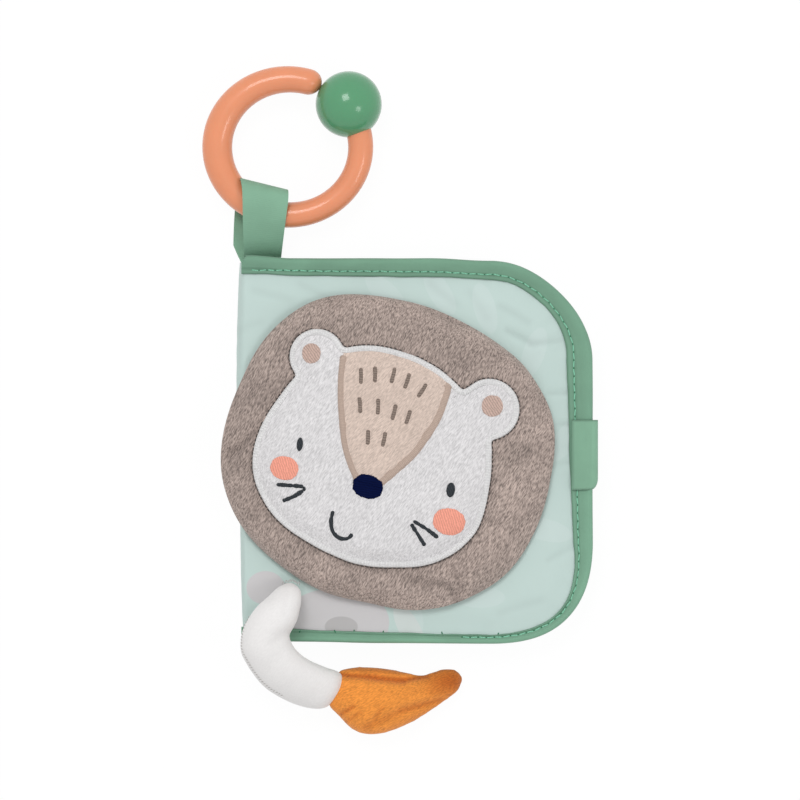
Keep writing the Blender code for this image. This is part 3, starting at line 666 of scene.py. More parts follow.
BOUND_LENGTH = 430 * MM  # the bound edge from head to foot, for patterns that run along it
RIM_BAND = 24 * MM  # beside the tape the rows of a cloth lie closer, in a band of this width,
RIM_ROWS = 0.55  # which takes this share of them
TUCK = 1.6 * MM  # a cloth runs on under its tape by this much


def outline(t, share=0.0, extra=0.0, left=SPINE_X):
    """The point at share t of the bound edge, from head to foot, drawn in by a share of the tape's width and more."""
    cx, cy = HALF_WIDTH - CORNER, HALF_HEIGHT - CORNER
    k = np.clip(np.searchsorted(SECTION_SHARES, t, side="right") - 1, 0, 4)
    s = (t - SECTION_SHARES[k]) / np.diff(SECTION_SHARES)[k]
    a, zero = pi / 2 * s, 0 * s
    across = np.choose(k, [zero, np.sin(a), zero + 1, np.cos(a), zero])
    up = np.choose(k, [zero + 1, np.cos(a), zero, -np.sin(a), zero - 1])
    base_x = np.choose(k, [left + (cx - left) * s, cx + zero, cx + zero, cx + zero, cx + (left - cx) * s])
    base_y = np.choose(k, [cy + zero, cy + zero, cy - 2 * cy * s, -cy + zero, -cy + zero])
    swell = np.sin(pi * s) ** 2
    droop = -0.9 * MM * smooth_step(0.75, 1.0, s)
    eased = UPPER_CORNER * swell - 0.9 * MM * np.cos(a) ** 2
    out = np.choose(k, [droop, eased, zero, LOWER_CORNER * swell, -FOOT_RISE * s**1.5])
    drawn = share * np.interp(t, WIDTH_AT, WIDTH_THERE) + extra - out
    return base_x + across * (CORNER - drawn), base_y + up * (CORNER - drawn)


def puckers(t, reach, seed):
    """Small gathers beside the seam: sharp across the seam's length, fading away from it."""
    fine = rough(np.stack([t * 0.42, reach * 0.2, 0 * t], 1), 4.5 * MM, seed)
    broad = rough(np.stack([t * 0.42, reach * 0.6, 0 * t], 1), 16 * MM, seed + 5)
    near = np.exp(-(((reach - 1.5 * MM) / (4.0 * MM)) ** 2))
    far = np.exp(-(((reach - 9 * MM) / (8.0 * MM)) ** 2))
    return 0.35 * MM * fine * near + 0.3 * MM * broad * far


def panel_height(t, reach, seed, wrinkle):
    """How far a cloth stands from the leaf's middle, reach metres in from the tape."""
    pinched = TAPE_HALF - 0.9 * MM
    swell = smooth_step(0, PINCH, reach)
    crown = pinched + (LEAF_HALF - pinched) * swell
    return crown + wrinkle * puckers(t, reach, seed)


def spine_reach(y):
    """How far the spine bulges to the left, less towards the foot and at both ends."""
    return np.where(
        np.abs(y) < HALF_HEIGHT,
        4.0 * MM - 1.5 * MM * (np.abs(y) / HALF_HEIGHT) ** 4 - 1.6 * MM * smooth_step(5 * MM, -40 * MM, y),
        0,
    )


# the rows close on the leaf's middle line, up to this point, which lies far enough in to leave the corners unfolded
CLOSE_X = HALF_WIDTH - CORNER - 15 * MM
MIDDLE_STEP = (CLOSE_X - SPINE_X) / 21


def cover_cloth(name, leaf, side, spine_from, seed, wrinkle=1.0):
    """One cloth of a leaf. side is 1 for its upper cloth; spine_from adds the cloth down to the middle of the spine."""
    middle = LEAF_MIDDLES[leaf]
    rows, columns = 44, 260

    def place(u, v):
        depth = np.where(v < RIM_ROWS, v / RIM_ROWS, 1.0) * RIM_BAND
        share = np.clip((v - RIM_ROWS) / (1 - RIM_ROWS), 0, 1)
        xs, ys = np.zeros_like(u), np.zeros_like(u)
        order = np.argsort(depth)
        for part in np.split(order, np.flatnonzero(np.diff(depth[order]) > 1e-9) + 1):
            d = depth[part[0]]
            # the first row is tucked under the tape, the second lies just inside its edge
            covered = d < 0.5 * MM
            xs[part], ys[part] = outline(u[part], 0.25 if covered else 1.0, 0.0 if covered else d - TUCK)
        # the last row's points fall on even steps, so that those from the head meet those from the foot
        inner_x = np.clip(xs, SPINE_X, CLOSE_X)
        inner_x = SPINE_X + np.round((inner_x - SPINE_X) / MIDDLE_STEP) * MIDDLE_STEP
        xs = xs + (inner_x - xs) * share
        ys = ys * (1 - share)
        reach = np.maximum(depth - TUCK, 0) + share * 40 * MM
        z = middle + side * panel_height(u, reach, seed, wrinkle)
        return xs, ys, z

    cloth = grid_piece(name, columns, rows, place, outward=False)
    if spine_from:
        co = points_of(cloth)
        edge = co[np.abs(co[:, 0] - SPINE_X) < 1e-7]
        edge = edge[np.argsort(edge[:, 1])]
        centre = STACK / 2

        def wrap(u, v):
            i = np.rint(v * (len(edge) - 1)).astype(int)
            a = pi / 2 * u
            y, z = edge[i, 1], edge[i, 2]
            ripple = 0.25 * MM * rough(np.stack([y, y * 0, u * 8 * MM], 1), 9 * MM, seed)
            x = SPINE_X - (spine_reach(y) + ripple * np.sin(a)) * np.sin(a)
            return x, y, centre + (z - centre) * np.cos(a)

        strip = grid_piece(name + "_spine", 14, len(edge) - 1, wrap, outward=False)
        only(cloth)
        strip.select_set(True)
        bpy.ops.object.join()
        tidy(cloth)
    tidy(cloth)
    if np.mean([p.normal.z for p in cloth.data.polygons]) * side < 0:
        flip(cloth)
    modify(cloth, "SOLIDIFY", thickness=0.5 * MM, offset=-1)
    return cloth


# %% [markdown]
# ## Covers and page
# The outer cloth of each cover runs on round the spine to its middle line. The inner cloths stop at the spine.

# %% Cloths of the three leaves
CLOTH_CREASES = [  # from, to, half width and depth in mm
    ((507, 331), (533, 345), 1.6, 0.8),
    ((530, 345), (561, 340), 1.4, 0.7),
    ((500, 306), (528, 322), 2.2, 0.5),
    ((548, 393), (571, 392), 1.0, 0.6),
    ((556, 423), (572, 424), 1.0, 0.6),
    ((549, 466), (570, 462), 1.2, 0.4),
    ((300, 284), (330, 300), 2.2, 0.4),
    ((255, 290), (290, 300), 2.4, 0.4),
    ((430, 284), (455, 304), 2.4, 0.45),
    ((470, 292), (486, 318), 2.6, 0.35),
    ((500, 612), (540, 600), 2.4, 0.4),
    ((548, 560), (570, 548), 1.6, 0.45),
    ((240, 330), (262, 322), 2.0, 0.3),
]
front_cloth = cover_cloth("front_cover_cloth", "front", 1, True, 3.0)
press_creases(front_cloth, CLOTH_CREASES, top_only=False)
finish(front_cloth, front_print, None, ["front_outer_cloth", "spine_upper"])
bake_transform(front_cloth)
back_cloth = cover_cloth("back_cover_cloth", "back", -1, True, 11.0)
finish(back_cloth, front_print, None, ["back_outer_cloth", "spine_lower"])
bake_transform(back_cloth)
for name, leaf, side, node, seed in (
    ("front_inner", "front", -1, "front_inner_cloth", 21.0),
    ("page_front", "page", 1, "page_front_cloth", 31.0),
    ("page_back", "page", -1, "page_back_cloth", 41.0),
    ("back_inner", "back", 1, "back_inner_cloth", 51.0),
):
    body = {"front": "front_cover", "page": "page_leaf", "back": "back_cover"}[leaf]
    cloth = cover_cloth(name + "_panel", leaf, side, False, seed, wrinkle=0.45)
    finish(cloth, inner_print, body, [node])

# %% [markdown]
# ## Binding tapes
# Each leaf's three open edges are wrapped in a folded cotton tape and sewn through. The tape is swept along the
# leaf's outline as a C, thickened inwards, and its inner edge wavers with the gathers of the cloth. The sewing is
# one small thread mesh, copied along the tape.


# %% Tapes round the leaves
def tape_profile(q):
    """Across the tape from its lower inner edge (-1) round the fold to the upper inner edge (1).

    Gives the share of the tape's width in from the fold and the height as a share of half the thickness."""
    fold = 0.12
    a = np.clip(q / fold, -1, 1) * pi / 2
    run = np.clip((np.abs(q) - fold) / (1 - fold), 0, 1)
    height = np.sin(a) * (1 - 0.22 * smooth_step(0.93, 1.0, run))
    return run, height, (1 - np.cos(a))


def binding(name, leaf, seed, left=SPINE_X):
    middle = LEAF_MIDDLES[leaf]

    def place(u, v):
        run, height, round_share = tape_profile(v * 2 - 1)
        along = np.stack([u * BOUND_LENGTH, v * 0, v * 0], 1)
        waver = rough(along, 7 * MM, seed) * 0.5 + rough(along, 19 * MM, seed + 3)
        lip = smooth_step(0.3, 1.0, run) * 0.35 * MM * waver
        across = np.stack([u * BOUND_LENGTH, run * 9 * MM, np.sign(v - 0.5) * 20 * MM], 1)
        slanted = np.stack([u * BOUND_LENGTH + run * 6 * MM, run * 4 * MM, np.sign(v - 0.5) * 20 * MM], 1)
        dent = (
            0.14 * MM * rough(across, 4 * MM, seed + 7) * smooth_step(0, 0.3, run)
            + 0.42 * MM * rough(slanted, 13 * MM, seed + 9) * np.sin(pi * np.clip(run / 0.7, 0, 1))
            - 0.42 * MM * np.exp(-(((run - 0.68) / 0.09) ** 2))
            + 0.1 * MM * np.exp(-(((run - 0.86) / 0.08) ** 2))
        )
        edge = TAPE_HALF * round_share * (1 - run)
        broad = rough(np.stack([u * BOUND_LENGTH, v * 0, v * 0], 1), 30 * MM, seed + 20)
        edge = edge + 0.35 * MM * broad * (1 - run)
        x, y = outline(u, run, edge + lip, left)
        return x, y, middle + height * TAPE_HALF + np.sign(v - 0.5) * dent

    tape = grid_piece(name, 420, 40, place, outward=False)
    face_out(tape, middle)
    modify(tape, "SOLIDIFY", thickness=0.55 * MM, offset=-1)
    return tape


def dash(name, length, width, height):
    """One stitch: a short rounded bar of 36 faces."""
    bpy.ops.object.select_all(action="DESELECT")
    bpy.ops.mesh.primitive_cylinder_add(vertices=6, radius=0.5, depth=1)
    obj = bpy.context.object
    obj.name = name
    bpy.ops.object.mode_set(mode="EDIT")
    bpy.ops.mesh.select_all(action="SELECT")
    bpy.ops.transform.rotate(value=pi / 2, orient_axis="Y", center_override=(0, 0, 0))
    bpy.ops.mesh.select_all(action="SELECT")
    bpy.ops.mesh.bevel(offset=0.16, segments=1, affect="EDGES")
    bpy.ops.mesh.select_all(action="SELECT")
    bpy.ops.transform.resize(value=(length, width, height))
    bpy.ops.object.mode_set(mode="OBJECT")
    return obj


def stitches(name, model, places):
    """Copies of one stitch, each at a point with a direction along it and one upwards."""
    bm = bmesh.new()
    for at, along, up in places:
        along = Vector(along).normalized()
        side = Vector(up).cross(along).normalized()
        over = along.cross(side)
        matrix = Matrix((along, side, over)).transposed().to_4x4()
        matrix.translation = at
        part = bmesh.new()
        part.from_mesh(model.data)
        part.transform(matrix)
        mesh = bpy.data.meshes.new("one")
        part.to_mesh(mesh)
        part.free()
        bm.from_mesh(mesh)
        bpy.data.meshes.remove(mesh)
    mesh = bpy.data.meshes.new(name)
    bm.to_mesh(mesh)
    bm.free()
    obj = bpy.data.objects.new(name, mesh)
    bpy.context.collection.objects.link(obj)
    return obj


def remove(obj):
    bpy.data.meshes.remove(obj.data)


BINDING_LEFT = photo_x(241.5)
front_tape = binding("front_binding_tape", "front", 61.0, BINDING_LEFT)
co = points_of(front_tape)
head_end = smooth_step(photo_x(292), photo_x(252), co[:, 0]) * smooth_step(photo_y(285), photo_y(262), co[:, 1])
co[:, 1] += 1.2 * MM * head_end
(x0, y0), (x1, y1) = photo_xy((246.5, 255.2), (240.5, 264.5))
slant = y0 + (co[:, 0] - x0) * (y1 - y0) / (x1 - x0)
co[:, 1] = np.where((co[:, 0] < x0) & (co[:, 1] > 60 * MM), np.minimum(co[:, 1], slant), co[:, 1])
set_points(front_tape, co)
finish(front_tape, tape_cloth, "front_cover", ["front_binding"])
page_tape = binding("page_binding_tape", "page", 71.0)
finish(page_tape, tape_cloth, "page_leaf", ["page_binding"])
back_tape = binding("back_binding_tape", "back", 81.0)
finish(back_tape, tape_cloth, "back_cover", ["back_binding"])


def surface_of(*objects):
    """A search tree of the objects' faces, for dropping points onto them."""
    bm = bmesh.new()
    for obj in objects:
        bm.from_mesh(obj.data)
    tree = BVHTree.FromBMesh(bm)
    bm.free()
    return tree


def drop(tree, x, y, below=False):
    """Height and normal of the surface under (x, y), seen from above, or over it from below."""
    start = Vector((x, y, -0.2 if below else 0.2))
    hit, normal, _, _ = tree.ray_cast(start, Vector((0, 0, 1 if below else -1)))
    if hit is None:
        hit, normal, _, _ = tree.find_nearest(Vector((x, y, 0.02)))
    return hit.z, normal


SEAM_SHARE = 0.72  # of the tape's width, from its fold
STITCH_PITCH = 3.3 * MM
stitch_model = dash("stitch_model", 2.6 * MM, 0.62 * MM, 0.5 * MM)
hole_model = dash("hole_model", 0.9 * MM, 0.55 * MM, 0.3 * MM)


def tape_seam(name, tape, body, until=0.996):
    """The line of sewing on both sides of one tape, up to a share of its path."""
    tree = surface_of(tape)
    t = np.linspace(0.004, until, 1500)
    x, y = outline(t, SEAM_SHARE, 0.2 * MM * rough(np.stack([t * BOUND_LENGTH, 0 * t, 0 * t], 1), 25 * MM, 2.0))
    run = np.concatenate([[0], np.cumsum(np.hypot(np.diff(x), np.diff(y)))])
    rows = {0.0: [], 0.5: []}
    for shift, places in rows.items():
        for d in np.arange(2 * MM + shift * STITCH_PITCH, run[-1], STITCH_PITCH):
            at = (np.interp(d, run, x), np.interp(d, run, y))
            ahead = (np.interp(d + MM, run, x), np.interp(d + MM, run, y))
            sway = 0.12 if int(d / STITCH_PITCH) % 2 else -0.12
            along = Vector((ahead[0] - at[0], ahead[1] - at[1], 0))
            along = Matrix.Rotation(sway, 3, "Z") @ along
            for below in (False, True):
                z, normal = drop(tree, *at, below)
                sink = 0.05 if shift == 0 else -0.02
                places.append(((*at, z + (-sink if below else sink) * MM), along, normal))
    holes = stitches(name.replace("seam", "needle_holes"), hole_model, rows[0.5])
    finish(holes, hole_thread, body)
    return finish(stitches(name, stitch_model, rows[0.0]), seam_thread, body)


# at the front cover's foot the tape is rolled over its sewing
tape_seam("front_binding_seam", front_tape, "front_cover", until=0.79)
tape_seam("page_binding_seam", page_tape, "page_leaf")
tape_seam("back_binding_seam", back_tape, "back_cover")
tuck_model = dash("tuck_model", 1.3 * MM, 0.55 * MM, 0.35 * MM)
tape_tree = surface_of(front_tape, front_cloth)
places = []
for px, py, lean in (
    (300, 631, 0.3), (335, 631, -0.4), (354, 631, 0.2), (383, 632, 0.5), (442, 633, -0.2), (498, 634, 0.4),
):  # fmt: skip
    x, y = photo_x(px), photo_y(py)
    z, normal = drop(tape_tree, x, y)
    places.append(((x, y, z + 0.05 * MM), (sin(lean), cos(lean), 0), (0, 0, 1)))
finish(stitches("front_tape_tucks", tuck_model, places), hole_thread, "front_cover")
for model in (stitch_model, hole_model, tuck_model):
    remove(model)

# %% [markdown]
# ## Pull tab
# A loop of grosgrain ribbon is caught under the fore edge's tape. It is one strip folded round the edge, so its
# section is a long U whose ends lie flat on the two sides of the tape.

# %% Pull tab
tab_low, tab_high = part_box("pull_tab")
TAB_BOTTOM_ROUND = 5 * MM


def tab_place(u, v):
    half = 0.95 * (tab_high.z - tab_low.z) / 2
    middle_z = (tab_high.z + tab_low.z) / 2
    left, right = tab_low.x, tab_high.x
    q = v * 2 - 1
    bend = 0.16
    a = np.clip(q / bend, -1, 1) * pi / 2
    run = np.clip((np.abs(q) - bend) / (1 - bend), 0, 1)
    y = tab_low.y + u * (tab_high.y - tab_low.y)
    corner = np.clip((tab_low.y + TAB_BOTTOM_ROUND - y) / TAB_BOTTOM_ROUND, 0, 1)
    drawn = TAB_BOTTOM_ROUND * 0.6 * (1 - np.sqrt(1 - corner**2))
    x = right - drawn - half * (1 - np.cos(a)) - run * (right - half - left - drawn)
    wave = 0.12 * MM * rough(np.stack([x, y, q * 5 * MM], 1), 5 * MM, 4.0)
    z = middle_z + half * np.sin(a) * (1 + 0.04 * np.sin(run * pi)) + np.sign(q) * wave
    return x, y, z


tab = grid_piece("pull_tab_ribbon", 60, 60, tab_place, outward=False)
face_out(tab, (tab_high.z + tab_low.z) / 2)
modify(tab, "SOLIDIFY", thickness=0.7 * MM, offset=-1)
co = points_of(tab)
from_end = np.minimum(co[:, 1] - tab_low.y, tab_high.y - co[:, 1])
# painted shadow along the tab's left edge, and painted dark lines across its top and bottom ends
darken(tab, 0.5 * smooth_step(1.4 * MM, 0.1 * MM, co[:, 0] - tab_low.x))
darken(tab, 0.95 * smooth_step(0.7 * MM, 0.2 * MM, from_end))
finish(tab, ribbon_cloth, "front_cover", ["pull_tab"])
TAB_CUT = folded_length(tab_place)
print("tab cut mm", round(TAB_CUT / MM, 1))

# %% [markdown]
# ## The plush pad
# The pad is a velour cushion sewn flat to the cover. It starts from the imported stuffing, which is a little smaller
# than the cushion, is remeshed into even faces and blown up with a short cloth simulation, as a filled cushion is.
# Its outline is then drawn to the photograph's, and a few creases are pressed in.


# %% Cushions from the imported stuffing
def node_copy(name, *nodes):
    """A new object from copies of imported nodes, with their loose triangles merged."""
    copies = []
    for node in nodes:
        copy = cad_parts[node].copy()
        copy.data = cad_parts[node].data.copy()
        copy.parent = None
        copy.matrix_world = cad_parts[node].matrix_world.copy()
        bpy.context.collection.objects.link(copy)
        copies.append(copy)
    only(copies[0])
    for copy in copies[1:]:
        copy.select_set(True)
    if len(copies) > 1:
        bpy.ops.object.join()
    obj = bpy.context.object
    only(obj)
    bpy.ops.object.transform_apply(location=True, rotation=True, scale=True)
    obj.name = obj.data.name = name
    return tidy(obj, distance=1e-5)


def blow_up(obj, pressure, cap, frames=20):
    """Fills a closed cloth with air for a moment and keeps no point further than cap from its start."""
    before = points_of(obj)
    only(obj)
    cloth = obj.modifiers.new("Cloth", "CLOTH")
    cloth.settings.quality = 6
    cloth.settings.use_pressure = True
    cloth.settings.uniform_pressure_force = pressure
    cloth.settings.effector_weights.gravity = 0
    cloth.settings.tension_stiffness = 15
    cloth.settings.bending_stiffness = 0.5
    cloth.point_cache.frame_start, cloth.point_cache.frame_end = 1, frames
    scene = bpy.context.scene
    for step in range(1, frames + 1):
        scene.frame_set(step)
    only(obj)
    bpy.ops.object.modifier_apply(modifier=cloth.name)
    scene.frame_set(1)
    moved = points_of(obj) - before
    far = np.linalg.norm(moved, axis=1)[:, None]
    moved = moved * np.minimum(1, cap / np.maximum(far, 1e-9))
    set_points(obj, before + moved)
    return obj


PAD_OUTLINE = photo_xy(
    (554.5, 450), (554.2, 433), (552.5, 416.3), (546.2, 401), (538, 386.5), (529, 372.5), (519, 360), (506, 350.5),
    (493.5, 341), (480.5, 332.5), (467.2, 325), (453.5, 318), (439.7, 312), (425.5, 306.8), (410.5, 302.5),
    (395, 299.5), (378.5, 296.5), (361.8, 294.8), (344.5, 294.5), (326.5, 296.8), (309.5, 302.5), (294.3, 311.3),
    (280, 322.5), (267.8, 335.6), (257, 349.8), (248.6, 365.5), (241.5, 381.8), (234.2, 397.8), (228.2, 414.6),
    (223.8, 432), (221.2, 450), (221.2, 468.2), (224.2, 486.3), (230.2, 503.5), (238, 520), (248.3, 534.8),
    (260.3, 548), (273.3, 559.6), (287.5, 569.5), (301, 579.2), (315.5, 587.5), (330.9, 593.8), (346.8, 598),
    (363, 600.5), (378.8, 604.3), (395, 608), (411.8, 609.6), (428.8, 608.8), (445.8, 606), (462, 600.5), (477.5, 593),
    (492.8, 584.6), (506.3, 573.6), (517.8, 560.6), (526.8, 545.8), (534.8, 530.7), (541.2, 515), (546, 499),
    (549, 482.6), (552.2, 466.5),
)  # fmt: skip
PAD_MIDDLE = (photo_x(395), photo_y(450))
PAD_BASE = STACK + 0.15 * MM


def radius_at(points, middle, angles, smoothing=2):
    """The outline's radius from its middle at each angle."""
    away = np.array(points) - middle
    a, r = np.arctan2(away[:, 1], away[:, 0]), np.hypot(away[:, 0], away[:, 1])
    order = np.argsort(a)
    a, r = a[order], r[order]
    table = np.linspace(-pi, pi, 361)
    values = np.interp(table, np.r_[a - 2 * pi, a, a + 2 * pi], np.r_[r, r, r])
    for _ in range(smoothing):
        ring = np.r_[values[-5:-1], values, values[1:5]]
        values = np.convolve(ring, np.ones(9) / 9, mode="valid")
    return np.interp((np.asarray(angles) + pi) % (2 * pi) - pi, table, values)


def in_rings(obj, middle, steps=360, rows=90, evening=16):
    """The cushion again in rings of even faces, read by rays from its middle, with its rim's ripples evened."""
    co = points_of(obj)
    low, high = co[:, 2].min(), co[:, 2].max()
    wide, tall = (co[:, 0].max() - co[:, 0].min()) / 2, (high - low) / 2
    centre = Vector((*middle, (low + high) / 2))
    tree = surface_of(obj)
    turns = np.linspace(0, 2 * pi, steps, endpoint=False)
    rises = np.linspace(-pi / 2, pi / 2, rows + 1)
    far = np.empty((steps, rows + 1))
    for i, a in enumerate(turns):
        for k, rise in enumerate(rises):
            way = Vector((cos(a) * cos(rise) * wide, sin(a) * cos(rise) * wide, sin(rise) * tall))
            hit = tree.ray_cast(centre, way)[0]
            far[i, k] = (hit - centre).length / way.length
    for _ in range(evening):
        far = (np.roll(far, 1, 0) + 2 * far + np.roll(far, -1, 0)) / 4
    far[:, 1:-1] = (far[:, :-2] + 2 * far[:, 1:-1] + far[:, 2:]) / 4
    edge = radius_at(PAD_OUTLINE, middle, turns, smoothing=2)
    fit = edge / (far * np.cos(rises) * wide).max(1)
    remove(obj)

    def place(u, v):
        i, k = np.rint(u * steps).astype(int) % steps, np.rint(v * rows).astype(int)
        out = far[i, k] * np.cos(rises[k]) * wide * fit[i]
        up = far[i, k] * np.sin(rises[k]) * tall
        return middle[0] + out * np.cos(turns[i]), middle[1] + out * np.sin(turns[i]), up

    return grid_piece("mane_cushion", steps, rows, place)


stuffing = node_copy("pad_stuffing", "mane_stuffing")
modify(stuffing, "REMESH", mode="VOXEL", voxel_size=3.2 * MM)
blow_up(stuffing, 4, 3 * MM)
modify(stuffing, "SMOOTH", factor=0.5, iterations=8)
pad = in_rings(stuffing, PAD_MIDDLE)
co = points_of(pad)
low, high = co[:, 2].min(), co[:, 2].max()
# a filled cushion on a table is widest below its middle
co[:, 2] = PAD_BASE + ((co[:, 2] - low) / (high - low)) ** 1.8 * 12.9 * MM
set_points(pad, co)
print("pad height mm", round((co[:, 2].max() - PAD_BASE) / MM, 1))

# %% Outline of the face
FACE_MIDDLE = (photo_x(373), photo_y(458))
FACE_RADII = (  # in pixels, every 6 degrees anticlockwise from +X, without the ears
    117.8, 119.3, 118.3, 116.8, 115.3, 113.8, 112.3, 111.3, 110.8, 110.8, 109.8, 110.3, 109.8, 110.3, 111.3, 112.3,
    112.8, 113.3, 113, 112.8, 112.5, 112, 111.8, 111.8, 111.3, 111.8, 113.3, 115.3, 116.8, 118.8, 119.8, 120.3,
    119.8, 117.8, 116.3, 114.3, 111.8, 109.3, 106.8, 105.3, 104.8, 104.3, 104.8, 106.3, 106.8, 108.3, 109.3, 110.8,
    114.3, 117.8, 120.8, 122.8, 125.3, 125.8, 126.8, 124.8, 122.3, 120.3, 118.8, 118.8,
)  # fmt: skip
EARS = [((317.5, 356.7), 27.6), ((488.6, 409.2), 30.5)]
OUTLINE_STEPS = 720


def face_edge():
    """The outline's points, anticlockwise from +X."""
    a = np.linspace(-pi, pi, OUTLINE_STEPS, endpoint=False)
    radius = np.interp(a, 2 * pi * np.arange(len(FACE_RADII)) / len(FACE_RADII), FACE_RADII, period=2 * pi) * PIXEL
    for _ in range(2):
        radius = np.mean([np.roll(radius, k) for k in range(-6, 7)], axis=0)
    for (px, py), size in EARS:
        cx, cy = photo_x(px) - FACE_MIDDLE[0], photo_y(py) - FACE_MIDDLE[1]
        along = cx * np.cos(a) + cy * np.sin(a)
        across = cx * np.sin(a) - cy * np.cos(a)
        room = (size * PIXEL) ** 2 - across**2
        far = along + np.sqrt(np.maximum(room, 0))
        radius = np.where((room > 0) & (along > 0), np.maximum(radius, far), radius)
    return np.stack([FACE_MIDDLE[0] + radius * np.cos(a), FACE_MIDDLE[1] + radius * np.sin(a)], 1)


def evened(line, count, closed=True, soften=0):
    """The line again with its points at even distances, with its corners eased."""
    line = np.asarray(line, float)
    if closed:
        line = np.vstack([line, line[:1]])
    run = np.r_[0, np.cumsum(np.linalg.norm(np.diff(line, axis=0), axis=1))]
    s = np.linspace(0, run[-1], count, endpoint=not closed)
    out = np.stack([np.interp(s, run, line[:, k]) for k in range(line.shape[1])], 1)
    for _ in range(soften):
        if closed:
            out = (np.roll(out, 1, 0) + 2 * out + np.roll(out, -1, 0)) / 4
        else:
            out[1:-1] = (out[:-2] + 2 * out[1:-1] + out[2:]) / 4
    return out


def left_of(line, closed):
    """The unit direction to the left of a line of x and y, at each of its points."""
    ahead = np.roll(line, -1, 0) - np.roll(line, 1, 0) if closed else np.gradient(line, axis=0)
    ahead /= np.linalg.norm(ahead, axis=1)[:, None]
    return np.stack([-ahead[:, 1], ahead[:, 0]], 1)


def inward(line, distance, closed=True):
    """The line moved to its left by a distance, which is inwards for an anticlockwise outline."""
    return line + left_of(line, closed) * distance


def distance_to(line, x, y):
    """Each point's distance to a closed or open line of many points."""
    out = np.empty(len(x))
    for i in range(0, len(x), 2000):
        d = np.hypot(x[i : i + 2000, None] - line[None, :, 0], y[i : i + 2000, None] - line[None, :, 1])
        out[i : i + 2000] = d.min(1)
    return out


FACE_EDGE = evened(face_edge(), OUTLINE_STEPS, soften=10)

# %% Creases of the pad
PAD_CREASES = [  # from, to, half width and depth in mm
    ((228, 456), (243, 446), 1.8, 1.8),
    ((241, 447), (257, 430), 1.8, 1.5),
    ((231, 496), (246, 485), 2.4, 0.9),
    ((250, 520), (262, 508), 2.4, 0.7),
    ((446, 584), (459, 600), 2.2, 1.8),
    ((452, 566), (462, 590), 1.8, 1.4),
    ((404, 579), (442, 583), 2.6, 1.7),
    ((426, 309), (466, 327), 1.6, 0.7),
    ((447, 350), (468, 366), 3.0, 0.9),
    ((512, 446), (548, 462), 4.0, 0.8),
    ((508, 398), (536, 412), 4.0, 0.5),
    ((498, 520), (524, 540), 4.0, 0.5),
]
# pile brushed the other way, and painted shade on folds and shaded places of the pad
PILE_AND_SHADE_PATCHES = [
    ((455, 358), (18, 9), -30, 0.5),
    ((528, 452), (26, 12), 20, 0.6),
    ((236, 452), (10, 24), 0, 0.3),
    ((530, 424), (15, 26), 0, 0.2),
    ((524, 410), (14, 10), 0, 0.2),
    ((424, 582), (26, 6), -5, 0.7),
    ((250, 480), (9, 30), 10, 0.3),
    ((256, 395), (10, 22), -25, 0.15),
    ((378, 318), (26, 8), -10, 0.15),
    ((505, 560), (16, 10), 45, 0.15),
]

press_creases(pad, PAD_CREASES)
darken_patches(pad, PILE_AND_SHADE_PATCHES)
co = points_of(pad)
away = co[:, :2] - PAD_MIDDLE
edge = radius_at(PAD_OUTLINE, PAD_MIDDLE, np.arctan2(away[:, 1], away[:, 0]), smoothing=2)
rim = np.hypot(away[:, 0], away[:, 1]) / edge
rise = smooth_step(PAD_BASE, PAD_BASE + 4 * MM, co[:, 2])
lumps = 0.5 * rough(co, 24 * MM, 1.0) + 0.3 * rough(co, 11 * MM, 2.0)
# sewing the face down pulls a groove round it, deepest towards the foot
from_face = distance_to(FACE_EDGE, co[:, 0], co[:, 1])
low_side = smooth_step(10 * MM, -40 * MM, co[:, 1])
groove = (0.5 + 1.5 * low_side) * np.exp(-((from_face / ((2.6 + 1.6 * low_side) * MM)) ** 2))
puff = 0.9 * low_side * np.exp(-(((rim - 0.88) / 0.08) ** 2))
co[:, 2] += rise * (lumps * smooth_step(0.45, 0.8, rim) - groove + puff) * MM
co[:, :2] += away * (0.005 * lumps * rise * smooth_step(0.8, 1, rim))[:, None]
co[:, 2] = np.maximum(co[:, 2], PAD_BASE)
set_points(pad, co)
# painted shade in the groove round the face, darker towards the foot
darken(pad, (0.22 + 0.3 * low_side) * np.exp(-((from_face / (3.2 * MM)) ** 2)))
# painted sheen: the pad is painted darker inside its rim, so that the rim looks lighter
darken(pad, 0.14 * (1 - smooth_step(0.85, 0.97, rim)))
finish(pad, mane_velour, "front_cover", ["mane_front", "mane_back", "mane_stuffing"])

# %% [markdown]
# ## The face patch
# White velour is laid on the pad and its raw edge is covered by a raised satin border. The outline is an oval with
# two round ears. A ring of points inside the outline gives a grid whose rows follow the border, and each point is
# dropped onto the pad, so the patch takes the pad's curve.

# %% Dropping points onto the pad
BORDER_WIDTH = 2.7 * MM
pad_surface = surface_of(pad)


def heights(tree, x, y):
    return np.array([drop(tree, a, b)[0] for a, b in zip(x, y)])


def patch(name, line, middle, rings, height):
    """A patch inside a closed line. height(x, y, distance from the line) gives its upper face."""
    columns = len(line)

    def place(u, v):
        i = np.rint(u * columns).astype(int) % columns
        share = np.sin(pi / 2 * v)
        x = middle[0] + (line[i, 0] - middle[0]) * share
        y = middle[1] + (line[i, 1] - middle[1]) * share
        return x, y, height(x, y, distance_to(line, x, y))

    obj = grid_piece(name, columns, rings, place, outward=False)
    if np.mean([p.normal.z for p in obj.data.polygons]) < 0:
        flip(obj)
    return obj


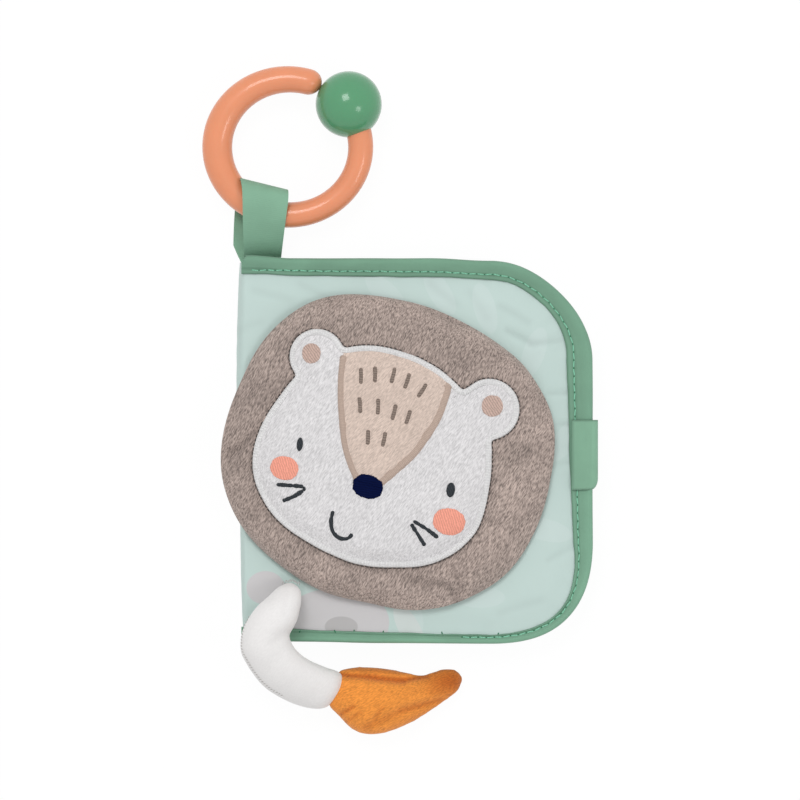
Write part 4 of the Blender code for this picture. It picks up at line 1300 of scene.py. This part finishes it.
def face_height(x, y, d):
    pillow = 0.5 * MM + 0.9 * MM * smooth_step(2.2 * MM, 9 * MM, d)
    dip = 0.35 * MM * np.exp(-(((d - 4.3 * MM) / (0.8 * MM)) ** 2)) * smooth_step(-5 * MM, 25 * MM, y)
    at = np.stack([x, y, 0 * x], 1)
    waves = 0.16 * MM * rough(at, 12 * MM, 6.0) + 0.08 * MM * rough(at, 5 * MM, 9.0)
    return heights(pad_surface, x, y) + pillow - dip + waves


face_patch = patch("face_patch", FACE_EDGE, FACE_MIDDLE, 60, face_height)
modify(face_patch, "SOLIDIFY", thickness=0.6 * MM, offset=-1)
finish(face_patch, face_velour, "front_cover", ["face_cloth"])


# %% Satin borders
def cord_strip(name, line, width, height, tree, closed=True, sink=0.25, waver=0.0, seed=0.0, sides=10):
    """A half-round strip of satin stitch along a line of x and y, lying on a surface."""
    count = len(line)
    side = left_of(line, closed)
    base = heights(tree, line[:, 0], line[:, 1])
    for _ in range(3):
        base = (np.roll(base, 1) + 2 * base + np.roll(base, -1)) / 4 if closed else base
    thick = np.ones(count)
    if not closed:
        length = np.linalg.norm(np.diff(line, axis=0), axis=1).sum()
        near_end = np.minimum(np.arange(count), np.arange(count)[::-1]) / (count - 1) * length / (width / 2)
        thick = np.sqrt(1 - (1 - np.clip(near_end, 0, 1)) ** 2) * 0.98 + 0.02
    if waver:
        thick = thick * (1 + waver * rough(np.stack([line[:, 0], line[:, 1], 0 * base], 1), 1.4 * MM, seed))
    last = count if closed else count - 1

    def place(u, v):
        i = np.rint(u * last).astype(int) % count
        a = 2 * pi * v
        across = -np.cos(a) * width / 2 * thick[i]
        up = np.sin(a)
        up = np.where(up > 0, np.abs(up) ** 0.75, 0.35 * up) * height * thick[i]
        return (
            line[i, 0] + side[i, 0] * across,
            line[i, 1] + side[i, 1] * across,
            base[i] + up - sink * MM,
        )

    return grid_piece(name, last, sides, place)


face_surface = surface_of(face_patch)
border_line = inward(FACE_EDGE, BORDER_WIDTH / 2)
border = cord_strip("face_border_satin", border_line, BORDER_WIDTH, 1.15 * MM, face_surface, waver=0.05, sides=14)
finish(border, white_satin, "front_cover", ["face_border"])

outline_model = dash("outline_model", 1.2 * MM, 0.5 * MM, 0.45 * MM)
outer = evened(inward(FACE_EDGE, -0.3 * MM), OUTLINE_STEPS)
places = []
step_run = np.linalg.norm(np.roll(outer, -1, 0) - outer, axis=1).mean()
skip = int(round(1.75 * MM / step_run))
for i in range(0, OUTLINE_STEPS, skip):
    if noise.noise(Vector((outer[i, 0], outer[i, 1], 0)) / (9 * MM)) < -0.42:
        continue
    z, normal = drop(pad_surface, *outer[i])
    ahead = outer[(i + 1) % OUTLINE_STEPS] - outer[i]
    places.append(((outer[i, 0], outer[i, 1], z + 0.45 * MM), (*ahead, 0), normal))
outline_seam = stitches("face_outline_seam", outline_model, places)
finish(outline_seam, outline_thread, "front_cover")
remove(outline_model)

# %% [markdown]
# ## The forehead
# A beige velour wedge runs from the top of the face down to the nose. Its two long sides carry a light brown satin
# border, and rows of short dashes are embroidered on it.

# %% Wedge
WEDGE_LEFT = photo_xy((344, 355), (341.8, 376), (341.4, 400), (343, 423), (346, 447), (351.5, 465), (358, 480))
WEDGE_RIGHT = photo_xy(
    (376, 486), (382, 481), (389, 475), (399.5, 466), (413.5, 453), (426, 436), (436.5, 419), (443.4, 401), (449, 380),
)  # fmt: skip


def through(points, count, soften=30):
    """A smooth line through a few points."""
    points = np.asarray(points, float)
    t = np.r_[0, np.cumsum(np.linalg.norm(np.diff(points, axis=0), axis=1))]
    s = np.linspace(0, t[-1], count)
    out = np.empty((count, 2))
    slope = np.gradient(points, t, axis=0)
    for k in range(count):
        i = min(np.searchsorted(t, s[k], side="right") - 1, len(t) - 2)
        h = t[i + 1] - t[i]
        q = (s[k] - t[i]) / h
        out[k] = (
            (2 * q**3 - 3 * q**2 + 1) * points[i]
            + (q**3 - 2 * q**2 + q) * h * slope[i]
            + (-2 * q**3 + 3 * q**2) * points[i + 1]
            + (q**3 - q**2) * h * slope[i + 1]
        )
    return out


wedge_left, wedge_right = through(WEDGE_LEFT, 90), through(WEDGE_RIGHT, 100)
inner_edge = inward(FACE_EDGE, 1.6 * MM)
first = np.argmin(np.hypot(*(inner_edge - wedge_right[-1]).T))
last = first + np.argmax(inner_edge[first:, 0] <= wedge_left[0, 0])
wedge_top = inner_edge[first : last + 1]
above_left = wedge_left[:, 1] < inner_edge[last, 1] - 0.3 * MM
above_right = wedge_right[:, 1] < inner_edge[first, 1]
wedge_line = evened(np.vstack([wedge_left[above_left], wedge_right[above_right], wedge_top]), 300, soften=2)
wedge_middle = wedge_line.mean(0) + (0, 8 * MM)


def wedge_height(x, y, d):
    soft = 0.45 * MM * smooth_step(0, 3.5 * MM, d)
    at = np.stack([x, y, 0 * x], 1)
    return heights(face_surface, x, y) + 0.25 * MM + soft + 0.08 * MM * rough(at, 5 * MM, 3.0)


wedge = patch("forehead_patch", wedge_line, wedge_middle, 30, wedge_height)
modify(wedge, "SOLIDIFY", thickness=0.5 * MM, offset=-1)
finish(wedge, forehead_velour, "front_cover", ["forehead_cloth"])
forehead_surface = surface_of(face_patch, wedge)
left_border = cord_strip("forehead_border_left", wedge_left, 2.9 * MM, 0.85 * MM, forehead_surface, closed=False)
right_border = cord_strip("forehead_border_right", wedge_right, 3.5 * MM, 0.85 * MM, forehead_surface, closed=False)
finish(left_border, brown_satin, "front_cover", ["forehead_border"])
finish(right_border, brown_satin, "front_cover")

# %% [markdown]
# ## Embroidered marks
# Nose, eyes, cheeks, inner ears, dashes, whiskers and smile are embroidery. Each filled shape is a low dome of
# thread, and each line a narrow half-round strip, both dropped onto the cloth below them.

# %% Filled embroidery
full_face = surface_of(face_patch, wedge, left_border, right_border)
FILLED = {  # height, the cloth below, thread and slot of each kind
    "nose": (0.8 * MM, full_face, navy_thread, "nose_thread"),
    "eye": (0.5 * MM, face_surface, grey_thread, "eye_thread"),
    "cheek": (0.5 * MM, face_surface, coral_thread, "cheek_thread"),
    "ear": (0.45 * MM, face_surface, tan_thread, "ear_plush"),
}


def emblem(node, place, half, turn, sharpness, wobble, seed):
    """A low dome of thread: place and half sizes in pixels of the photograph, turn in degrees anticlockwise."""
    height, tree, material, slot = FILLED[node.split("_")[0]]
    cx, cy = photo_x(place[0]), photo_y(place[1])
    a = np.linspace(0, 2 * pi, 96, endpoint=False)
    edge = 1 + wobble * np.array([noise.noise(Vector((3 * cos(t), 3 * sin(t), seed))) for t in a])
    edge = edge + 0.04 * np.array([noise.noise(Vector((14 * cos(t), 14 * sin(t), seed))) for t in a])
    x = half[0] * PIXEL * edge * np.sign(np.cos(a)) * np.abs(np.cos(a)) ** sharpness
    y = half[1] * PIXEL * edge * np.sign(np.sin(a)) * np.abs(np.sin(a)) ** sharpness
    c, s = cos(radians(turn)), sin(radians(turn))
    line = np.stack([cx + c * x - s * y, cy + s * x + c * y], 1)
    size = min(half) * PIXEL

    def dome(px, py, d):
        swell = 0.15 * MM + height * np.sqrt(1 - (1 - np.clip(d / (0.9 * size), 0, 1)) ** 2)
        return heights(tree, px, py) + swell

    obj = patch(node + "_embroidery", line, (cx, cy), 16, dome)
    modify(obj, "SOLIDIFY", thickness=0.4 * MM, offset=-1)
    return finish(obj, material, "front_cover", [node])


EMBLEMS = [  # place, half sizes, turn, sharpness of the outline and its wobble
    ("nose", (368, 486), (15.2, 11.7), -14, 0.9, 0.07),
    ("eye_left", (300.4, 444), (3.1, 6.8), -6, 1, 0.05),
    ("eye_right", (450.4, 489.4), (4.3, 7.3), -6, 1, 0.05),
    ("cheek_left", (285, 467.7), (14, 11.6), -12, 0.92, 0.03),
    ("cheek_right", (448.8, 521), (16, 13.2), -12, 0.92, 0.03),
    ("ear_left", (311.8, 353.6), (9.2, 9.9), 0, 0.95, 0.04),
    ("ear_right", (491.8, 406), (10.6, 10.6), 0, 0.95, 0.04),
]
for i, settings in enumerate(EMBLEMS):
    emblem(*settings, seed=i + 1.0)

# %% Lines of embroidery


def stitch_line(name, pixels, width, material, tree, height=0.6 * MM, waver=0.35, seed=0.0):
    line = through(photo_xy(*pixels), 40)
    obj = cord_strip(name, line, width * PIXEL, height, tree, closed=False, sink=0.05, waver=waver, seed=seed, sides=8)
    return finish(obj, material, "front_cover")


WHISKERS = {
    "whisker_left_upper": ((277, 484), (291, 485), (304, 486)),
    "whisker_left_lower": ((283, 500.5), (294, 496), (304, 490)),
    "whisker_left_end": ((304, 486), (304.8, 488), (304, 490.5)),
    "whisker_right_upper": ((413, 520), (426, 528), (438, 537)),
    "whisker_right_lower": ((411, 523), (418, 534), (425, 545)),
    "smile": ((333.5, 510), (331.5, 521), (334, 532), (341, 537.5), (348, 537.5), (353, 533)),
}
for i, (name, pixels) in enumerate(WHISKERS.items()):
    stitch_line(name, pixels, 3.9, grey_thread, face_surface, waver=0.4, seed=i)

DASHES = [  # middle, length and tilt in degrees from upright, clockwise
    ((361, 376), 16, 0), ((375, 374.5), 16, 0), ((393, 375.5), 16, 14), ((407, 381), 16, 18), ((422, 390.5), 16, 33),
    ((360, 405), 16, -4), ((378, 406.5), 16, 2), ((394, 412), 16, 14), ((408, 417), 15, 18),
    ((368, 437), 15, 2), ((384, 439), 15, 12),
]  # fmt: skip
for i, ((px, py), length, tilt) in enumerate(DASHES):
    dx, dy = sin(radians(tilt)) * length / 2, cos(radians(tilt)) * length / 2
    pixels = ((px - dx, py + dy), (px + 0.3, py), (px + dx, py - dy))
    stitch_line(
        f"forehead_dash_{i + 1}", pixels, 4.0, mark_thread, forehead_surface, waver=0.12, seed=20 + i
    )

# %% [markdown]
# ## Tail and tuft
# The tail is a white stuffed tube with an orange plush tuft sewn on its end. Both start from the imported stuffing
# like the pad, are blown up a little and given the folds that the photograph shows.

# %% Edges of the tail and the tuft
TAIL_LEFT = photo_xy(
    (283, 581), (276, 588), (268, 596), (258.7, 604), (249, 617), (243, 629), (241, 639), (241.5, 652), (246, 661),
    (254, 674), (265, 687), (278, 696), (294, 704), (307, 708), (319, 709.5), (330, 708),
)  # fmt: skip
TAIL_RIGHT = photo_xy(
    (296, 581), (300, 586), (302.6, 596), (301.6, 604), (300, 612), (296, 624), (290, 634), (292.2, 642), (300, 652),
    (313, 661), (322, 665), (329, 668), (336, 670), (341, 672.5), (344, 680), (343, 690),
)  # fmt: skip
TUFT_UPPER = photo_xy(
    (333, 678), (339.5, 670.5), (349.6, 667.6), (367, 666.8), (386, 668.4), (405, 672), (424, 675), (433, 672),
    (442, 669.5), (455, 669.5), (462, 674), (464.4, 680.4),
)  # fmt: skip
TUFT_LOWER = photo_xy(
    (324, 703), (331, 709.5), (338.4, 716), (346.4, 725), (355, 731.5), (366, 735), (380, 734.5), (396, 730),
    (414, 722), (432, 711), (448, 700), (459.7, 691), (464.4, 680.4),
)  # fmt: skip


def evened_ends(points, count):
    return evened(through(points, 300), count, closed=False)


packed_tail = surface_of(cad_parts["tail_cloth"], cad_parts["tuft_cloth"])


def stuffed(name, one_edge, other_edge, flatness, steps=70, around=48, blunt=(3.0, 2.0)):
    """A stuffed tube between two edges seen from above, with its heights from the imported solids.

    blunt tells how quickly the two ends close."""
    left, right = evened_ends(one_edge, steps + 1), evened_ends(other_edge, steps + 1)
    middle = (left + right) / 2
    half = np.linalg.norm(left - right, axis=1) / 2
    side = (left - right) / (2 * np.maximum(half, 1e-6))[:, None]
    tops = np.array([drop(packed_tail, *m)[0] for m in middle])
    lows = np.array([drop(packed_tail, *m, below=True)[0] for m in middle])
    for _ in range(12):
        tops[1:-1] = (tops[:-2] + 2 * tops[1:-1] + tops[2:]) / 4
        lows[1:-1] = (lows[:-2] + 2 * lows[1:-1] + lows[2:]) / 4
    centre_z, half_z = (tops + lows) / 2, np.minimum((tops - lows) / 2, half * flatness)
    share = np.linspace(0, 1, steps + 1)
    close = np.minimum(1, np.sqrt(np.clip(share * steps / blunt[0], 0, 1)))
    close *= np.minimum(1, np.sqrt(np.clip((1 - share) * steps / blunt[1], 0, 1)))

    def place(u, v):
        i = np.rint(v * steps).astype(int)
        a = 2 * pi * u
        out, up = np.cos(a) * half[i] * close[i], np.sin(a) * half_z[i] * close[i]
        return middle[i, 0] + side[i, 0] * out, middle[i, 1] + side[i, 1] * out, centre_z[i] + up

    tube = grid_piece(name, around, steps, place)
    modify(tube, "REMESH", mode="VOXEL", voxel_size=1.5 * MM)
    blow_up(tube, 2, 0.5 * MM)
    modify(tube, "SMOOTH", factor=0.5, iterations=4)
    modify(tube, "SUBSURF", levels=1, render_levels=1)
    return tube


# %% Tail
tail = stuffed("tail_cushion", TAIL_LEFT, TAIL_RIGHT, 0.95)
TAIL_CREASES = [
    ((292, 628), (272, 640), 3.0, 1.0),
    ((287, 640), (268, 662), 4.0, 0.5),
    ((288, 583), (285, 612), 1.2, 0.5),
]
press_creases(tail, TAIL_CREASES, shade=0.15)
finish(tail, tail_velour, "tail", ["tail_cloth", "tail_stuffing"])

# %% Tuft
tuft = stuffed("tuft_cushion", TUFT_UPPER, TUFT_LOWER, 0.6, blunt=(3.0, 5.0))
TUFT_CREASES = [
    ((338, 674.5), (376, 677.5), 1.3, 1.6),
    ((368, 677), (404, 681), 1.5, 2.0),
    ((396, 681), (428, 677), 1.3, 1.6),
    ((366, 727), (406, 709), 2.2, 0.6),
    ((400, 711), (442, 700), 1.8, 1.0),
    ((341, 714), (354, 706), 1.0, 1.0),
    ((346, 722), (360, 712), 1.0, 0.6),
    ((372, 724), (382, 708), 1.2, 0.6),
]
# painted shade on the tuft's upper fold, its tip and a lower crease
TUFT_SHADES = [
    ((380, 671), (50, 4), -3, 0.35),
    ((450, 682), (24, 15), 0, 0.75),
    ((425, 712), (30, 5), 25, 0.15),
]
press_creases(tuft, TUFT_CREASES)
darken_patches(tuft, TUFT_SHADES)
finish(tuft, tuft_velour, "tail", ["tuft_cloth", "tuft_stuffing"])

# %% Sewing of the tail
sewing_model = dash("sewing_model", 1.5 * MM, 0.35 * MM, 0.35 * MM)
tail_surface, cover_surface = surface_of(tail), surface_of(front_cloth)
places = []
edge_line = evened_ends(TAIL_LEFT, 200)
for i in range(52, 150, 3):
    x, y = edge_line[i]
    inner = edge_line[i] * 0.985 + np.array(PAD_MIDDLE) * 0.015
    z, normal = drop(tail_surface, *inner)
    ahead = edge_line[i + 1] - edge_line[i]
    across = Vector((-ahead[1], ahead[0], 0)) + Vector((ahead[0], ahead[1], 0)) * 0.8
    places.append(((*inner, z), across, normal))
root = through(photo_xy((283, 583), (291, 580), (300, 583)), 12)
for i, (x, y) in enumerate(root):
    z, normal = drop(tail_surface, x, y)
    z = max(z, drop(cover_surface, x, y)[0])
    lean = 0.9 * sin(2.7 * i + i * i)
    places.append(((x, y, z + 0.3 * MM), (lean, 1, 0), (0, 0, 1)))
tail_sewing = stitches("tail_sewing", sewing_model, places)
finish(tail_sewing, faint_thread, "tail")
remove(sewing_model)

# %% [markdown]
# ## Ring and ball
# The teether is an open oval ring of glossy plastic with a ball on one end and a rounded tip on the other. A circle
# is spun round the ring's middle, its free end is drawn in by short extrusions, and the whole is made oval, tilted
# and moved to its place.

# %% Ring
RING_MIDDLE = Vector((-51.5, 124.6, 11.15)) * MM
RING_HALF = (29.5 * MM, 27.8 * MM)
TUBE = 5.5 * MM
RING_TILT = radians(4.5)
BALL_ANGLE = radians(35.5)
BALL_RADIUS = 13.5 * MM
TUBE_START, TUBE_END = radians(27), radians(74 - 360)


def ring_place(co):
    """Points in the ring's own plane brought to their place."""
    about = Vector((sin(BALL_ANGLE), -cos(BALL_ANGLE), 0))
    turn = np.array(Matrix.Rotation(RING_TILT, 3, about))
    return co @ turn.T + np.array(RING_MIDDLE)


bpy.ops.object.select_all(action="DESELECT")
bpy.ops.mesh.primitive_circle_add(
    vertices=40,
    radius=TUBE,
    location=(RING_HALF[0] * cos(TUBE_START), RING_HALF[0] * sin(TUBE_START), 0),
    rotation=(pi / 2, 0, TUBE_START),
    fill_type="NOTHING",
)
ring = bpy.context.object
ring.name = ring.data.name = "teether_ring"
bpy.ops.object.transform_apply(location=True, rotation=True, scale=True)
bpy.ops.object.mode_set(mode="EDIT")
bpy.ops.mesh.select_all(action="SELECT")
bpy.ops.mesh.spin(steps=150, angle=TUBE_START - TUBE_END, center=(0, 0, 0), axis=(0, 0, 1))
bpy.ops.object.mode_set(mode="OBJECT")
co = points_of(ring)
end_middle = np.array([cos(TUBE_END), sin(TUBE_END), 0]) * RING_HALF[0]
side_of_end = np.array([sin(TUBE_END), -cos(TUBE_END), 0])
at_end = (np.abs((co - end_middle) @ side_of_end) < 1e-6) & (np.linalg.norm(co - end_middle, axis=1) < 2 * TUBE)


def pick(obj, picked):
    """Selects the marked points of a mesh and no others."""
    for vertex, chosen in zip(obj.data.vertices, picked):
        vertex.select = bool(chosen)


def round_end(obj, middle, ahead, radius, steps=8):
    """Extrudes the selected round edge into a half ball."""
    only(obj)
    bpy.ops.object.mode_set(mode="EDIT")
    bpy.ops.mesh.select_mode(type="EDGE")
    for k in range(1, steps + 1):
        a0, a1 = pi / 2 * (k - 1) / steps, pi / 2 * min(k, steps - 0.15) / steps
        move = np.array(ahead) * radius * (sin(a1) - sin(a0))
        bpy.ops.mesh.extrude_region_move(TRANSFORM_OT_translate={"value": tuple(move)})
        middle = middle + move
        bpy.ops.transform.resize(value=(cos(a1) / cos(a0),) * 3, center_override=tuple(middle))
    bpy.ops.mesh.edge_face_add()
    bpy.ops.object.mode_set(mode="OBJECT")


pick(ring, at_end)
only(ring)
bpy.ops.object.mode_set(mode="EDIT")
bpy.ops.mesh.select_mode(type="VERT")
bpy.ops.object.mode_set(mode="OBJECT")
pick(ring, at_end)
round_end(ring, end_middle, side_of_end, TUBE)
co = points_of(ring)
# the tube is a little thicker on the side away from the ball
a = np.arctan2(co[:, 1], co[:, 0])
line = np.stack([np.cos(a), np.sin(a), 0 * a], 1) * RING_HALF[0]
co = line + (co - line) * (1.03 - 0.09 * np.cos(a) + 0.02 * np.sin(a))[:, None]
co[:, 1] *= RING_HALF[1] / RING_HALF[0]
set_points(ring, ring_place(co))
tidy(ring)
finish(ring, ring_plastic, "ring", ["ring"])

# %% Ball
bpy.ops.object.select_all(action="DESELECT")
bpy.ops.mesh.primitive_uv_sphere_add(segments=96, ring_count=64, radius=BALL_RADIUS)
ball = bpy.context.object
ball.name = ball.data.name = "teether_ball"
co = points_of(ball)
parting = np.exp(-((co[:, 2] / (0.35 * MM)) ** 2))
co *= 1 + 0.006 * parting[:, None]
centre = np.array([cos(BALL_ANGLE), sin(BALL_ANGLE), 0]) * 30.2 * MM
set_points(ball, ring_place(co + centre))
finish(ball, ball_plastic, "ring", ["ball"])

# %% [markdown]
# ## The ribbon loop
# One ribbon is sewn in at the head of the back cover, goes round the ring's tube and comes back. Seen from its side
# the loop is a drop shape. Its lower run lies a little further left than its upper run, as on the real book.

# %% Ribbon loop
LOOP_LEFT, LOOP_RIGHT = -70.5 * MM, -51.0 * MM
LOOP_LENGTHS = (31.8 * MM, 27.0 * MM)
LOOP_ROOT = (79.9 * MM, 2.5 * MM)
LOOP_SEWN = 6.5 * MM
SEWN_SHARE = 0.06


def loop_place(u, v):
    # v runs from one sewn end round the ring to the other, u across the ribbon
    t = 2 * pi * np.clip((v - SEWN_SHARE) / (1 - 2 * SEWN_SHARE), 0, 1)
    sewn = np.maximum(np.maximum(SEWN_SHARE - v, v - 1 + SEWN_SHARE) / SEWN_SHARE, 0)
    upper = smooth_step(0.35, 0.65, v)
    length = LOOP_LENGTHS[0] + (LOOP_LENGTHS[1] - LOOP_LENGTHS[0]) * u
    r = length * (1 - np.cos(t)) / 2
    x = LOOP_LEFT + (LOOP_RIGHT - LOOP_LEFT) * u
    far = r / length
    lean = (far - 1.0) - sewn * 0.35
    x = x + (0.6 + 0.4 * upper) * (u - 0.1) * 4.2 * MM * lean
    tube_z = RING_MIDDLE.z - 2.0 * MM + 1.2 * MM * u
    slope = (tube_z - LOOP_ROOT[1]) / (22 * MM)
    swell = 9.8 * MM * np.sin(t) * np.abs(np.sin(t / 2)) ** 0.8
    spread = 0.7 * MM * np.cos(t / 2)
    y = LOOP_ROOT[0] + r - sewn * LOOP_SEWN
    # the lower run stands out to the left, back to nothing where it is sewn in
    x = x - (1 - upper) * 4.3 * MM * np.clip((y - 75 * MM) / (9.5 * MM), 0, 1) * (1 - 0.5 * far**2)
    z = LOOP_ROOT[1] + slope * r - swell - spread
    wave = 0.25 * MM * rough(np.stack([x * 0.5, y, z], 1), 12 * MM, 15.0) * np.sin(t / 2)
    return x, y, np.maximum(z + wave, 0.55 * MM)


loop = grid_piece("ring_ribbon", 40, 150, loop_place, outward=False)
modify(loop, "SOLIDIFY", thickness=0.6 * MM, offset=0)
finish(loop, ribbon_cloth, None, ["hang_loop"])
LOOP_CUT = folded_length(loop_place)
print("ribbon cut mm", round(LOOP_CUT / MM, 1))
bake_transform(loop)

# %% [markdown]
# ## Filling
# Inside each leaf are a layer of wadding and a sheet of crackling film. They are hidden by the cloths, but the
# wadding is still its own soft piece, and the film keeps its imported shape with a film's finish.

# %% Wadding and film
m = Maker("white_wadding", roughness=0.95, sheen=0.4)
tangle = m.noise(m.coordinates(stretch=(1, 1, 0.4)), 380, 5)
m.colour(m.shade(linear((236, 236, 232)), m.remap(tangle, 0.3, 0.7, 0.88, 1.06)))
m.bump(tangle, 0.5 * MM)
white_wadding = m.material

m = Maker("crinkle_film", roughness=0.25, coat=0.2)
crackle = m.add("TexVoronoi", inputs={"Vector": m.coordinates(), "Scale": 140}, feature="DISTANCE_TO_EDGE")
m.colour(m.shade(linear((214, 220, 222)), m.remap(crackle, 0.0, 0.4, 0.9, 1.05)))
m.bump(crackle, 0.4 * MM)
crinkle_film = m.material

for leaf, body in (("back", "back_cover"), ("page", "page_leaf"), ("front", "front_cover")):
    filling = node_copy(f"{leaf}_filling", f"{leaf}_wadding")
    modify(filling, "SUBSURF", levels=1, render_levels=1)
    co = points_of(filling)
    co[:, 2] += 0.08 * MM * rough(co, 6 * MM, 2.0)
    set_points(filling, co)
    finish(filling, white_wadding, body, [f"{leaf}_wadding"])
    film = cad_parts[f"{leaf}_crinkle_film"]
    film.data.materials.clear()
    film.data.materials.append(crinkle_film)
